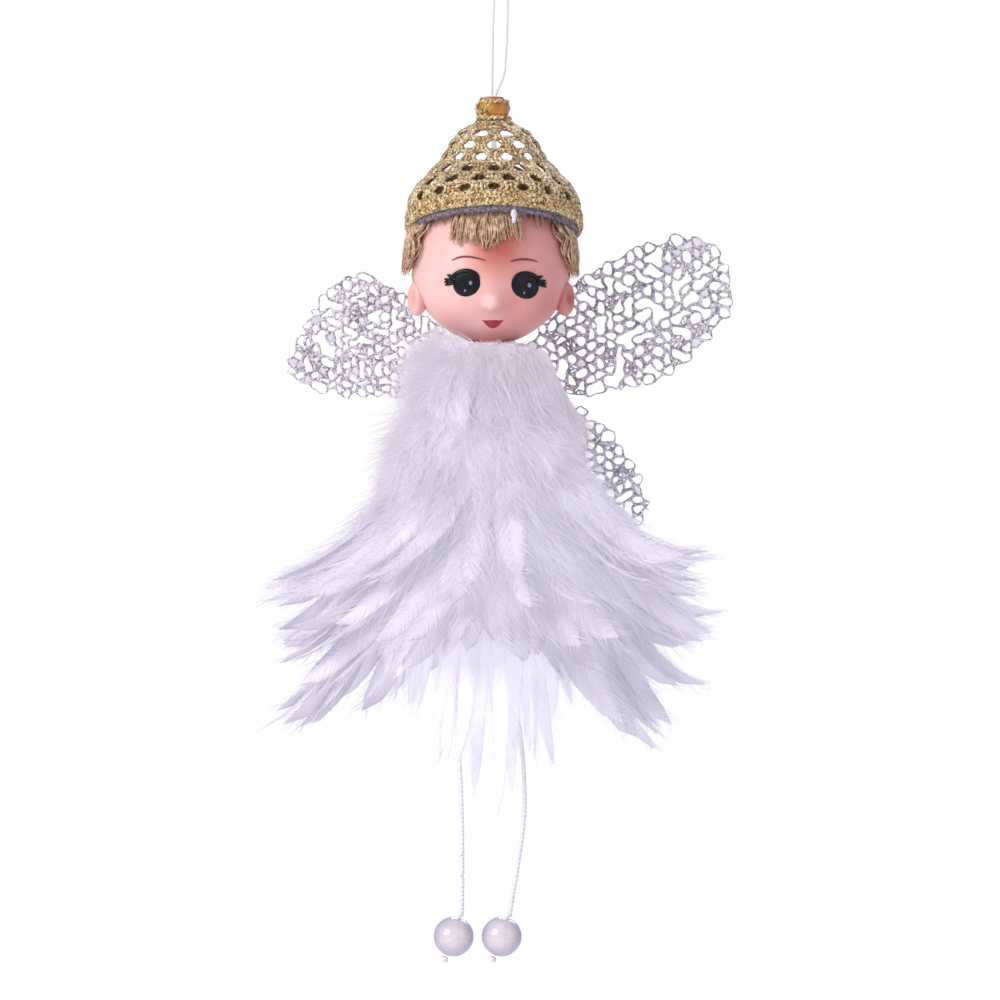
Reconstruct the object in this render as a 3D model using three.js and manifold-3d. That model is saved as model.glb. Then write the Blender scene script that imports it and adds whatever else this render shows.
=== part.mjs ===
// A hanging fairy ornament: a doll's head in an openwork cap, a dress of layered feathers,
// net wings, and two cord legs that end in pearls, all hung from a loop of clear thread.
// Millimetres, +Z up. The origin is the top of the hanging loop, and the fairy faces -Y.
import * as THREE from 'three';
import { mergeVertices } from 'three/addons/utils/BufferGeometryUtils.js';
import Module from 'manifold-3d';

const wasm = await Module();
wasm.setup();

// Clearances
const GAP = 0.3; // between pieces that seat on, pass through or lie against each other
const SWING_ROOM = 0.9; // between the bead and the cap's tip, so that the fairy can swing

// Hanging loop of nylon thread
const LOOP_HEIGHT = 23.4;
const THREAD_DIAMETER = 0.4;
const LOOP_ROUTE = [ // X, and share of the loop's height, up one strand and down the other
  [-0.35, 0], [-0.35, 0.05], [-0.3, 0.18], [-0.25, 0.35], [-0.2, 0.53], [-0.1, 0.7], [0, 0.83], [0, 0.94],
  [0.4, 0.983], [1.37, 1], [2.35, 0.983],
  [2.75, 0.94], [2.75, 0.83], [2.75, 0.7], [2.6, 0.53], [2.4, 0.35], [2, 0.18], [0.8, 0.05], [0.35, 0],
];

// Faceted bead on the cap's tip
const BEAD_HEIGHT = 4.6;
const BEAD_DIAMETER = 6.6;
const BEAD_END_DIAMETER = 4.2;
const BEAD_BORE = 1.9;
const BEAD_FACETS = 8;

// Openwork cap and its brim band
const CAP_HEIGHT = 21.1; // tip to the middle of the brim
const CAP_TIP_DIAMETER = 5.2;
const CAP_NECK_DIAMETER = 15;
const CAP_WAIST_DIAMETER = 22.6;
const CAP_SHOULDER_DIAMETER = 31.4;
const BRIM_OVERHANG = 1.5; // brim's edge past the side of the head
const CAP_LEVELS = { neck: 0.24, waist: 0.53, shoulder: 0.72 }; // shares of the cap's height
const CAP_WALL = 0.9;
const CAP_TILT = 17; // degrees, front edge up
const CAP_HOLE = 2.8;
const CAP_HOLE_SIDES = 6;
const CAP_HOLE_SPACING = 4.48; // least distance round the cap from one hole's middle to the next
const CAP_HOLE_ROWS = 3;
const CAP_HOLES_ROUND = 10; // most holes in one row
const CAP_SOLID_TIP = 4.2; // height of the tip that has no holes
const BAND_HEIGHT = 3.5;
const BAND_WALL = 1.6;
const BAND_PROUD = 0.5; // how far the band stands out past the cap

// Hollow doll's head
const HEAD_WIDTH = 31;
const HEAD_DEPTH = 31;
const CROWN_HEIGHT = 22.5; // above the cheeks
const CHIN_HEIGHT = 13.5; // below the cheeks
const CROWN_DEPTH = 8.1; // cap's tip down to the crown
const HEAD_WALL = 1.6;
const NECK_HOLE = 9;
const CROWN_HOLE = 2;
const EAR_WIDTH = 3.2;
const EAR_DEPTH = 4.4;
const EAR_HEIGHT = 7;
const EAR_DROP = 4; // ear's middle below the cheeks
const EAR_SINK = 0.4; // ear's middle inside the head's side
const EAR_SETBACK = 1.5; // ear's middle behind the head's middle
const NOSE_DIAMETER = 3.6;
const NOSE_DROP = 5.5;

// Knot that holds the head on its thread
const STEM_DIAMETER = 1;
const KNOT_DIAMETER = 3.4;
const WASHER_DIAMETER = 7;
const WASHER_THICKNESS = 0.8;

// Hair glued round the head under the brim
const FRINGE_WIDTH = 14.6;
const FRINGE_SHIFT = -0.7;
const FRINGE_LENGTH = 10;
const FRINGE_TUCK = 1.5; // length of the fringe that is under the brim
const FRINGE_THICKNESS = 1.6;
const TUFT_WIDTH = 4.6;
const TUFT_DEPTH = 9;
const TUFT_HEIGHT = 8.4;
const TUFT_FORWARD = 1.1; // tuft's middle in front of the head's middle
const BACK_HAIR_WIDTH = 25;
const BACK_HAIR_LENGTH = 11;
const BACK_HAIR_THICKNESS = 2;

// Neck post: a mushroom that the head turns on
const NECK_FLANGE_DIAMETER = 12;
const NECK_FLANGE_HEIGHT = 3.2;
const MUSHROOM_DIAMETER = 12;
const MUSHROOM_HEIGHT = 3;
const MUSHROOM_DOME = 1.5;
const POST_DIAMETER = 6;
const POST_LENGTH = 8;

// Body core and base disc under the feathers
const CORE_TOP_DIAMETER = 14;
const CORE_FOOT_DIAMETER = 28;
const CORE_HEIGHT = 46;
const BASE_THICKNESS = 1.4;

// Feather fringes: each is a ring of feathers on a tape wound round the core
const TAPE_HEIGHT = 3;
const TAPE_THICKNESS = 1.4;
const TAPE_SIDES = 20;
const FEATHER_THICKNESS = 1;
const FEATHER_STEPS = 5;
const SHORTEST_FEATHER = 0.84; // share of the longest in the same fringe
const FEATHER_FILL = 0.94; // most of its slot on the tape that a feather may fill
const FEATHER_TURN = 0.25; // share of a slot that each fringe's first feather stands round from +X
const VANE_PHASES = [0.25, 0.9]; // stretch of half a sine wave that a vane's width follows, root to tip
const FRINGES = {
  feather_collar: { seat: 0, feathers: 11, width: 10, reach: 9.4, drop: 9, lead: [5, 4.5], curl: [10.5, 1] },
  feather_bodice: { seat: 8.5, feathers: 11, width: 11, reach: 14, drop: 12, lead: [9, 0], curl: [13, -5] },
  upper_skirt: { seat: 18.5, feathers: 14, width: 12, reach: 33, drop: 25, lead: [16, -1], curl: [17, -20] },
  middle_skirt: { seat: 28, feathers: 14, width: 12, reach: 33, drop: 26, lead: [14, -1], curl: [16, -21] },
  lower_skirt: { seat: 35.5, feathers: 13, width: 12, reach: 32, drop: 34, lead: [11, -2], curl: [13, -24] },
  under_skirt: { seat: 41.5, feathers: 10, width: 10, reach: 9.5, drop: 44, lead: [4, -10], curl: [7, -28] },
};

const PARTING_ANGLE = -94; // degrees about Z, where the skirts' feathers part at the front
const SWEEP_ANGLES = [0, 0, 16, 27, 33, 0]; // degrees that feathers at the parting drift aside, by fringe
const SWEEP_POWER = 1.3; // a feather's drift aside grows with its length to this power
const PARTED_LENGTH = 0.86; // length left at the parting, as a share
const SIDE_LENGTH = 0.42; // length of the under skirt's feathers at the sides, as a share
const HANGING_ANGLES = [12, 109]; // degrees from the parting, where the lower skirt hangs
const HANGING_SHARES = [0.76, 1.1]; // of its reach and drop, there

// Wing patch sewn to the back of the core, and the four wing nets on its edges
const PATCH_WIDTH = 7.6;
const PATCH_HEIGHT = 7.4;
const PATCH_THICKNESS = 1;
const PATCH_SHIFT = 0.8;
const PATCH_DROP = 6; // patch's middle below the core's top
const PATCH_REACH = 18.6; // core's middle to the patch's front face
const SHANK_DIAMETER = 2.4;
const SHANK_RISE = 1.2; // shank above the patch's middle
const NET_THICKNESS = 0.6;
const NET_STRAND = 0.7;
const NET_RIM = 0.7;
const NET_CELL = 3.9;
const NET_JITTER = 0.6;
const NET_CLOSED = 0.12; // share of the cells that stay filled with film
const LOWER_WING_TILT = 26; // degrees, foot leaning back over the skirt
const WING_OUTLINES = {
  right_upper_wing: [
    [5, 12.5], [12, 21.5], [27.2, 29], [37.8, 30], [43, 22.2], [41, 12.6], [28, 1.8], [10, -1.5],
  ],
  left_upper_wing: [
    [-10, 14], [-19.5, 21.4], [-25.6, 22.8], [-31, 19.4], [-38.9, 4.8], [-35, 0.6], [-22, -1.7],
  ],
  right_lower_wing: [[11, -0.5], [18, -6], [25.5, -17], [26.5, -25], [20, -28.5], [11, -20], [2, -7]],
  left_lower_wing: [[-9, -0.5], [-14.5, -6], [-20, -16], [-20.5, -25], [-15, -28], [-8, -19], [-2, -7]],
};
const WING_ROOT = { upper: [-1.4, 4], lower: [-4.2, -0.4] }; // foot and top of the sewn edge
const UPPER_ROOT_RISE = 1; // upper wing's root above the patch's middle
const LOWER_ROOT_DROP = 2.2; // lower wing's root below the patch's middle

// Legs: twisted cords from a knot under the base disc to a pearl
const HIP_KNOT_DIAMETER = 2.4;
const LEG_CORD_DIAMETER = 1;
const PEARL_DIAMETER = 8;
const PEARL_BORE = 1.5;
const PEARL_TILT = 23; // degrees between the pearl's bore and upright
const PEARL_STEM_DIAMETER = 0.8;
const PEARL_KNOT_DIAMETER = 1.8;
const LEG_LENGTH = 60.4; // cord, from the hip knot to the pearl
const LEG_ROUTES = {
  left: { hip: -8, bow: [0, 0, 0.1, 0.2, 0.4, 0.6, 0.8, 1, 1.2, 1.4, 1.5, 1.6, 1.6, 1.6, 1.6, 1.5] },
  right: { hip: 1.6, bow: [0, 0, 0.7, 1.5, 2.4, 3.1, 3.7, 4.1, 4.4, 4.5, 4.4, 4, 3.4, 2.8, 2.1, 1.5] },
};

// How finely the round pieces are faceted
const LOOP_STEPS = 40;
const CORD_SIDES = 8;
const CORD_STEPS = 24;
const CAP_SIDES = 20;
const CAP_RINGS = 4;
const BAND_RINGS = 2;
const HEAD_FACETS = [24, 16]; // around, and from pole to pole
const HOLLOW_FACETS = [16, 10];
const TUFT_FACETS = [14, 10];
const EAR_FACETS = [10, 6];
const PEARL_FACETS = [18, 12];
const KNOT_FACETS = [10, 7];
const CORE_SIDES = 28;
const NECK_SIDES = 20;
const THIN_SIDES = 12;
const TINY_SIDES = 10;
const BORE_SIDES = 8;
const OUTLINE_STEPS = 3;

// Brim and heights of the stacked pieces, worked out from the sizes above
const brimDiameter = HEAD_WIDTH + 2 * BRIM_OVERHANG;
const zBeadTop = -LOOP_HEIGHT;
const zBeadFoot = zBeadTop - BEAD_HEIGHT;
const zCapTip = zBeadFoot - SWING_ROOM;
const zBrim = zCapTip - CAP_HEIGHT;
const zCrown = zCapTip - CROWN_DEPTH;
const zCheeks = zCrown - CROWN_HEIGHT;
const degrees = Math.PI / 180;

// A closed mesh as a solid that can be joined and cut, and back again
function solid(geometry) {
  const bare = geometry.clone();
  for (const name of Object.keys(bare.attributes)) {
    if (name !== 'position') bare.deleteAttribute(name);
  }
  const merged = mergeVertices(bare);
  const vertProperties = merged.attributes.position.array;
  const triVerts = new Uint32Array(merged.index.array);
  return new wasm.Manifold(new wasm.Mesh({ numProp: 3, vertProperties, triVerts }));
}

function geometryOf(body) {
  const { vertProperties, triVerts } = body.getMesh();
  const geometry = new THREE.BufferGeometry();
  geometry.setAttribute('position', new THREE.BufferAttribute(vertProperties, 3));
  geometry.setIndex(new THREE.BufferAttribute(triVerts, 1));
  geometry.computeVertexNormals();
  return geometry;
}

// A turned shape about Z, from radius and height pairs that run up the outside
function turned(profile, sides) {
  const points = profile.map(([radius, height]) => new THREE.Vector2(radius, height));
  return new THREE.LatheGeometry(points, sides).rotateX(Math.PI / 2);
}

// An upright plain ring, or a rod where the bore is 0
function ring(outerRadius, boreRadius, foot, top, sides) {
  const profile = [[boreRadius, foot], [outerRadius, foot], [outerRadius, top], [boreRadius, top]];
  if (boreRadius > 0) profile.push([boreRadius, foot]);
  return turned(profile, sides);
}

// An egg with its widest level at z, and its own height above and below that level
function egg(halfWidth, halfDepth, above, below, z, facets) {
  const geometry = new THREE.SphereGeometry(1, ...facets).rotateX(Math.PI / 2);
  const position = geometry.attributes.position;
  for (let i = 0; i < position.count; i++) {
    const height = position.getZ(i);
    position.setXYZ(
      i,
      position.getX(i) * halfWidth,
      position.getY(i) * halfDepth,
      z + height * (height > 0 ? above : below),
    );
  }
  return geometry;
}

function block(low, high) {
  const size = new THREE.Vector3(...high).sub(new THREE.Vector3(...low));
  const middle = new THREE.Vector3(...low).addScaledVector(size, 1 / 2);
  return new THREE.BoxGeometry(size.x, size.y, size.z).translate(middle.x, middle.y, middle.z);
}

// A round cord along a smooth curve through its route's points
function cord(points, diameter, steps) {
  const route = new THREE.CatmullRomCurve3(points.map((point) => new THREE.Vector3(...point)));
  const section = new THREE.Shape();
  for (let i = 0; i < CORD_SIDES; i++) {
    const angle = (i / CORD_SIDES) * 2 * Math.PI;
    const corner = [(Math.cos(angle) * diameter) / 2, (Math.sin(angle) * diameter) / 2];
    if (i === 0) section.moveTo(...corner);
    else section.lineTo(...corner);
  }
  return new THREE.ExtrudeGeometry(section, { steps, extrudePath: route });
}

// A repeatable number from 0 to 1 for a pair of values
function scatter(a, b) {
  const wave = Math.sin(a * 12.9898 + b * 78.233) * 43758.5453;
  return wave - Math.floor(wave);
}

const fairy = new THREE.Group();

function piece(name, geometry, color, roughness, metalness = 0) {
  const material = new THREE.MeshStandardMaterial({ color, roughness, metalness });
  const mesh = new THREE.Mesh(geometry, material);
  mesh.name = name;
  fairy.add(mesh);
  return mesh;
}

// Hanging loop: up one side from the bead, over the top and down the other side
function hangingLoop() {
  const foot = zBeadTop + GAP;
  const top = -THREAD_DIAMETER / 2;
  return LOOP_ROUTE.map(([x, share]) => [x, 0, foot + (top - foot) * share]);
}

piece('hanging_thread', cord(hangingLoop(), THREAD_DIAMETER, LOOP_STEPS), 0xf2f5f8, 0.15);

// Faceted bead: two cones base to base with flat ends and a bore for the thread
function facetedBead() {
  const bore = BEAD_BORE / 2;
  const end = BEAD_END_DIAMETER / 2;
  const middle = (zBeadTop + zBeadFoot) / 2;
  const profile = [
    [bore, zBeadFoot],
    [end, zBeadFoot],
    [BEAD_DIAMETER / 2, middle],
    [end, zBeadTop],
    [bore, zBeadTop],
    [bore, zBeadFoot],
  ];
  return turned(profile, BEAD_FACETS);
}

piece('tip_bead', facetedBead(), 0xd98a2b, 0.1);

// Cap: a bell of netting whose brim tilts up at the front
const capRadii = new THREE.SplineCurve([
  new THREE.Vector2(CAP_TIP_DIAMETER / 2, 0),
  new THREE.Vector2(CAP_NECK_DIAMETER / 2, CAP_LEVELS.neck),
  new THREE.Vector2(CAP_WAIST_DIAMETER / 2, CAP_LEVELS.waist),
  new THREE.Vector2(CAP_SHOULDER_DIAMETER / 2, CAP_LEVELS.shoulder),
  new THREE.Vector2(brimDiameter / 2, 1),
]);

// The cap's outside at a share of the curve from tip to brim: radius and height before tilting
function capPoint(share) {
  const point = capRadii.getPoint(share);
  return [point.x, zCapTip - point.y * CAP_HEIGHT];
}

function tilted(geometry) {
  const position = geometry.attributes.position;
  const slope = Math.tan(CAP_TILT * degrees);
  for (let i = 0; i < position.count; i++) {
    const down = (zCapTip - position.getZ(i)) / CAP_HEIGHT;
    position.setZ(i, position.getZ(i) - position.getY(i) * slope * down * Math.abs(down));
  }
  return geometry;
}

const bandTop = zBrim + BAND_HEIGHT;

// The share of the cap's curve where it reaches a height, found by halving
const HALVINGS = 40;
function capShareAt(height) {
  let low = 0;
  let high = 1;
  for (let i = 0; i < HALVINGS; i++) {
    const middle = (low + high) / 2;
    if (capPoint(middle)[1] > height) low = middle;
    else high = middle;
  }
  return low;
}

function capShell(fromShare, toShare, proud, wall, rings) {
  const outside = [];
  for (let i = 0; i <= rings; i++) {
    const [radius, height] = capPoint(toShare + ((fromShare - toShare) * i) / rings);
    outside.push([radius + proud, height]);
  }
  const inside = outside.map(([radius, height]) => [radius - wall, height]).reverse();
  return tilted(turned([...outside, ...inside, outside[0]], CAP_SIDES));
}

function openworkCap() {
  const foot = capShareAt(bandTop + GAP);
  let net = solid(capShell(0, foot, 0, CAP_WALL, CAP_RINGS));
  const rowTop = capShareAt(zCapTip - CAP_SOLID_TIP);
  for (let row = 0; row < CAP_HOLE_ROWS; row++) {
    const share = rowTop + ((foot - rowTop) * (row + 1 / 2)) / CAP_HOLE_ROWS;
    const [radius, height] = capPoint(share);
    const fits = Math.floor((radius * 2 * Math.PI) / CAP_HOLE_SPACING);
    const count = Math.min(CAP_HOLES_ROUND, fits);
    for (let i = 0; i < count; i++) {
      const turn = ((i + (row % 2) / 2) / count) * 2 * Math.PI;
      const down = (zCapTip - height) / CAP_HEIGHT;
      const y = radius * Math.sin(turn);
      const lift = -y * Math.tan(CAP_TILT * degrees) * down * down;
      const reach = CAP_HOLE * 2;
      const cutter = new THREE.CylinderGeometry(CAP_HOLE / 2, CAP_HOLE / 2, reach, CAP_HOLE_SIDES);
      cutter.rotateZ(Math.PI / 2);
      cutter.translate(radius, 0, 0);
      cutter.rotateZ(turn);
      cutter.translate(0, 0, height + lift);
      net = net.subtract(solid(cutter));
    }
  }
  return geometryOf(net);
}

piece('cap', openworkCap(), 0xb8924a, 0.45, 0.6);
piece('cap_band', capShell(capShareAt(bandTop), 1, BAND_PROUD, BAND_WALL, BAND_RINGS), 0xc79b45, 0.4, 0.6);

// Head: a hollow egg with ears and a nose, open at the neck and pierced at the crown
const headHalfWidth = HEAD_WIDTH / 2;
const headHalfDepth = HEAD_DEPTH / 2;

function headEgg(offset, facets) {
  return egg(
    headHalfWidth + offset,
    headHalfDepth + offset,
    CROWN_HEIGHT + offset,
    CHIN_HEIGHT + offset,
    zCheeks,
    facets,
  );
}

// Height of the chin's surface, moved in or out by an offset, at a radius from the neck's axis
function chinHeight(radius, offset) {
  const share = radius / (Math.min(headHalfWidth, headHalfDepth) + offset);
  return zCheeks - (CHIN_HEIGHT + offset) * Math.sqrt(1 - share * share);
}

function dollHead() {
  let head = solid(headEgg(0, HEAD_FACETS));
  const half = EAR_HEIGHT / 2;
  for (const side of [-1, 1]) {
    const ear = egg(EAR_WIDTH / 2, EAR_DEPTH / 2, half, half, zCheeks - EAR_DROP, EAR_FACETS);
    head = head.add(solid(ear.translate(side * (headHalfWidth - EAR_SINK), EAR_SETBACK, 0)));
  }
  const nose = new THREE.SphereGeometry(NOSE_DIAMETER / 2, ...EAR_FACETS);
  const noseSeat = Math.sqrt(1 - (NOSE_DROP / CHIN_HEIGHT) ** 2);
  head = head.add(solid(nose.translate(0, -headHalfDepth * noseSeat, zCheeks - NOSE_DROP)));
  head = head.subtract(solid(headEgg(-HEAD_WALL, HOLLOW_FACETS)));
  const below = ring(NECK_HOLE / 2, 0, zCheeks - CHIN_HEIGHT * 2, zCheeks, NECK_SIDES);
  const above = ring(CROWN_HOLE / 2, 0, zCheeks, zCrown + CROWN_HEIGHT, THIN_SIDES);
  return geometryOf(head.subtract(solid(below)).subtract(solid(above)));
}

piece('head_shell', dollHead(), 0xf3b79f, 0.45);

// Knot and washer: the thread runs down from the bead through cap and crown to a knot inside
const crownShare = WASHER_DIAMETER / 2 / (Math.min(headHalfWidth, headHalfDepth) - HEAD_WALL);
const crownInside = (CROWN_HEIGHT - HEAD_WALL) * Math.sqrt(1 - crownShare * crownShare);
const zWasherTop = zCheeks + crownInside - 2 * GAP;
const zKnotTop = zWasherTop - WASHER_THICKNESS - GAP;

function threadKnot() {
  const stem = STEM_DIAMETER / 2;
  const knot = KNOT_DIAMETER / 2;
  const middle = zKnotTop - knot;
  const corner = knot * Math.SQRT1_2;
  const profile = [
    [0, middle - knot],
    [corner, middle - corner],
    [knot, middle],
    [corner, middle + corner],
    [stem, zKnotTop],
    [stem, zBeadFoot - GAP],
    [0, zBeadFoot - GAP],
  ];
  return turned(profile, THIN_SIDES);
}

piece('thread_knot', threadKnot(), 0xf2f5f8, 0.2);
const washerBore = STEM_DIAMETER / 2 + GAP;
piece(
  'knot_washer',
  ring(WASHER_DIAMETER / 2, washerBore, zWasherTop - WASHER_THICKNESS, zWasherTop, NECK_SIDES),
  0xdedede,
  0.5,
);

// Hair: locks glued to the head, cut from a skin that follows it
function hairLock(thickness, low, high) {
  const skin = solid(headEgg(GAP + thickness, HEAD_FACETS)).subtract(solid(headEgg(GAP, HEAD_FACETS)));
  return geometryOf(skin.intersect(solid(block(low, high))));
}

function sideTuft(side) {
  const half = TUFT_HEIGHT / 2;
  const middle = zBrim - GAP - half;
  const lobe = egg(TUFT_WIDTH / 2, TUFT_DEPTH / 2, half, half, middle, TUFT_FACETS);
  lobe.translate(side * headHalfWidth, -TUFT_FORWARD, 0);
  return geometryOf(solid(lobe).subtract(solid(headEgg(GAP, HEAD_FACETS))));
}

const HAIR_COLOR = 0xb08a5c;
const outsideHead = HEAD_WIDTH + HEAD_DEPTH;
const brimSlope = Math.tan(CAP_TILT * degrees);
const zFrontBrim = zBrim + (brimDiameter / 2) * brimSlope;
const zBackBrim = zBrim - (brimDiameter / 2 + BAND_PROUD) * brimSlope - GAP;
piece(
  'hair_fringe',
  hairLock(
    FRINGE_THICKNESS,
    [FRINGE_SHIFT - FRINGE_WIDTH / 2, -outsideHead, zFrontBrim + FRINGE_TUCK - FRINGE_LENGTH],
    [FRINGE_SHIFT + FRINGE_WIDTH / 2, -headHalfDepth / 8, zFrontBrim + FRINGE_TUCK],
  ),
  HAIR_COLOR,
  0.8,
);
piece('hair_left', sideTuft(-1), HAIR_COLOR, 0.8);
piece('hair_right', sideTuft(1), HAIR_COLOR, 0.8);
piece(
  'hair_back',
  hairLock(
    BACK_HAIR_THICKNESS,
    [-BACK_HAIR_WIDTH / 2, headHalfDepth / 4, zBackBrim - BACK_HAIR_LENGTH],
    [BACK_HAIR_WIDTH / 2, outsideHead, zBackBrim],
  ),
  HAIR_COLOR,
  0.8,
);

// Neck post: its mushroom hangs in the head's neck hole, its flange sits on the core
const neckRadius = NECK_HOLE / 2 - GAP;
const zMushroom = chinHeight(MUSHROOM_DIAMETER / 2, -HEAD_WALL) + GAP;
const zFlangeTop = chinHeight(NECK_HOLE / 2, 0) - GAP;
const zFlangeFoot = zFlangeTop - NECK_FLANGE_HEIGHT;
const zCoreTop = zFlangeFoot - GAP;
const zCoreFoot = zCoreTop - CORE_HEIGHT;

function neckPost() {
  const profile = [
    [0, zFlangeFoot - POST_LENGTH],
    [POST_DIAMETER / 2, zFlangeFoot - POST_LENGTH],
    [POST_DIAMETER / 2, zFlangeFoot],
    [NECK_FLANGE_DIAMETER / 2, zFlangeFoot],
    [NECK_FLANGE_DIAMETER / 2, zFlangeTop],
    [neckRadius, zFlangeTop],
    [neckRadius, zMushroom],
    [MUSHROOM_DIAMETER / 2, zMushroom],
    [MUSHROOM_DIAMETER / 2, zMushroom + MUSHROOM_HEIGHT],
    [0, zMushroom + MUSHROOM_HEIGHT + MUSHROOM_DOME],
  ];
  return turned(profile, NECK_SIDES);
}

piece('neck_post', neckPost(), 0xe8c9b6, 0.6);

// Core: a foam cone with a socket for the neck post
function coreRadius(height) {
  const share = (zCoreTop - height) / CORE_HEIGHT;
  return (CORE_TOP_DIAMETER + (CORE_FOOT_DIAMETER - CORE_TOP_DIAMETER) * share) / 2;
}

function bodyCore() {
  const socket = POST_DIAMETER / 2 + GAP;
  const profile = [
    [0, zCoreFoot],
    [CORE_FOOT_DIAMETER / 2, zCoreFoot],
    [CORE_TOP_DIAMETER / 2, zCoreTop],
    [socket, zCoreTop],
    [socket, zFlangeFoot - POST_LENGTH - GAP],
    [0, zFlangeFoot - POST_LENGTH - GAP],
  ];
  return turned(profile, CORE_SIDES);
}

const zBaseTop = zCoreFoot - GAP;
const zBaseFoot = zBaseTop - BASE_THICKNESS;
piece('body_core', bodyCore(), 0xf4f1ea, 0.9);
piece('base_disc', ring(CORE_FOOT_DIAMETER / 2, 0, zBaseFoot, zBaseTop, CORE_SIDES), 0xf0ede6, 0.8);

// One feather: a lens-shaped vane along a curve in radius and height, drifting about Z from its turn
function feather(spine, turn, sweep, width, length, slot) {
  const positions = [];
  const index = [];
  const place = (radius, angle, height) =>
    positions.push(radius * Math.cos(angle), radius * Math.sin(angle), height);
  for (let i = 0; i < FEATHER_STEPS; i++) {
    const share = i / FEATHER_STEPS;
    const point = spine.getPoint(share * length);
    const along = spine.getTangent(share * length);
    const phase = THREE.MathUtils.lerp(...VANE_PHASES, share);
    const vane = ((width / 2) * Math.sin(Math.PI * phase)) / point.x;
    const spread = Math.min(vane, slot);
    const half = FEATHER_THICKNESS / 2;
    const angle = turn + sweep * share ** SWEEP_POWER;
    place(point.x, angle - spread, point.y);
    place(point.x - along.y * half, angle, point.y + along.x * half);
    place(point.x, angle + spread, point.y);
    place(point.x + along.y * half, angle, point.y - along.x * half);
  }
  const tip = spine.getPoint(length);
  place(tip.x, turn + sweep, tip.y);
  for (let i = 0; i < FEATHER_STEPS; i++) {
    for (let side = 0; side < 4; side++) {
      const a = i * 4 + side;
      const b = i * 4 + ((side + 1) % 4);
      if (i === FEATHER_STEPS - 1) index.push(a, FEATHER_STEPS * 4, b);
      else index.push(a, a + 4, b, b, a + 4, b + 4);
    }
  }
  index.push(0, 1, 2, 0, 2, 3);
  const geometry = new THREE.BufferGeometry();
  geometry.setAttribute('position', new THREE.Float32BufferAttribute(positions, 3));
  geometry.setIndex(index);
  return geometry;
}

// Angle from the parting at the front, from -PI to PI
function fromParting(turn) {
  return THREE.MathUtils.euclideanModulo(turn - PARTING_ANGLE * degrees + Math.PI, 2 * Math.PI) - Math.PI;
}

// What a fringe leaves of a feather's length at a turn: parted skirts are shorter at the parting
function lengthAt(name, turn, parted) {
  if (name === 'under_skirt') return 1 - (1 - SIDE_LENGTH) * Math.cos(turn) ** 2;
  return parted ? 1 - (1 - PARTED_LENGTH) * Math.max(0, Math.cos(fromParting(turn))) : 1;
}

// A fringe: a tape round the core with feathers that leave it outwards and down
function featherFringe(name, { seat, feathers, width, reach, drop, lead, curl }, order) {
  const top = zCoreTop - seat;
  const foot = top - TAPE_HEIGHT;
  const inner = coreRadius(foot) + GAP;
  const tape = ring(inner + TAPE_THICKNESS, inner, foot, top, TAPE_SIDES);
  const start = new THREE.Vector2(inner + TAPE_THICKNESS / 2, (top + foot) / 2);
  const spineOf = (out, down) => {
    const [first, second, end] = [lead, curl, [reach, -drop]].map(
      ([x, y]) => new THREE.Vector2(start.x + x * out, start.y + y * down),
    );
    return new THREE.CubicBezierCurve(start, first, second, end);
  };
  const spine = spineOf(1, 1);
  const hangingSpine = spineOf(...HANGING_SHARES);
  const slot = (FEATHER_FILL * Math.PI) / feathers;
  let fringe = solid(tape);
  for (let i = 0; i < feathers; i++) {
    const turn = ((i + FEATHER_TURN) / feathers) * 2 * Math.PI;
    const off = fromParting(turn);
    const [hangFrom, hangTo] = HANGING_ANGLES.map((angle) => angle * degrees);
    const hangs = name === 'lower_skirt' && off > hangFrom && off < hangTo;
    const sweep = SWEEP_ANGLES[order] * degrees * Math.sign(off) * Math.max(0, Math.cos(off));
    const uneven = SHORTEST_FEATHER + (1 - SHORTEST_FEATHER) * scatter(i, feathers + order);
    const length = uneven * lengthAt(name, turn, SWEEP_ANGLES[order] > 0);
    fringe = fringe.add(solid(feather(hangs ? hangingSpine : spine, turn, sweep, width, length, slot)));
  }
  return fringe;
}

// The wing patch's shank runs in from the back, through the collar, to the core
const patchMiddle = zCoreTop - PATCH_DROP;
const shankHeight = patchMiddle + SHANK_RISE;

function shank(radius, from, to) {
  const rod = new THREE.CylinderGeometry(radius, radius, to - from, THIN_SIDES);
  return solid(rod.translate(PATCH_SHIFT, (from + to) / 2, shankHeight));
}

Object.entries(FRINGES).forEach(([name, sizes], order) => {
  const fringe = featherFringe(name, sizes, order);
  const room = shank(SHANK_DIAMETER / 2 + GAP, 0, PATCH_REACH);
  piece(name, geometryOf(fringe.subtract(room)), 0xf3f1f8, 0.9);
});

function wingPatch() {
  const plate = block(
    [PATCH_SHIFT - PATCH_WIDTH / 2, PATCH_REACH, patchMiddle - PATCH_HEIGHT / 2],
    [PATCH_SHIFT + PATCH_WIDTH / 2, PATCH_REACH + PATCH_THICKNESS, patchMiddle + PATCH_HEIGHT / 2],
  );
  const from = coreRadius(shankHeight - SHANK_DIAMETER / 2) + GAP;
  return geometryOf(solid(plate).add(shank(SHANK_DIAMETER / 2, from, PATCH_REACH + PATCH_THICKNESS / 2)));
}

piece('wing_patch', wingPatch(), 0xe9e6f0, 0.9);

// Whether a point lies inside an outline, at least a margin away from its edge
function insideOutline(x, y, outline, margin) {
  let inside = false;
  let nearest = Infinity;
  for (let i = 0; i < outline.length; i++) {
    const a = outline[i];
    const b = outline[(i + 1) % outline.length];
    if (a.y > y !== b.y > y && x < a.x + ((y - a.y) / (b.y - a.y)) * (b.x - a.x)) inside = !inside;
    const edge = new THREE.Vector2().subVectors(b, a);
    const offset = new THREE.Vector2(x - a.x, y - a.y);
    const share = THREE.MathUtils.clamp(offset.dot(edge) / Math.max(edge.lengthSq(), 1e-9), 0, 1);
    nearest = Math.min(nearest, offset.addScaledVector(edge, -share).length());
  }
  return inside && nearest >= margin;
}

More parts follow.
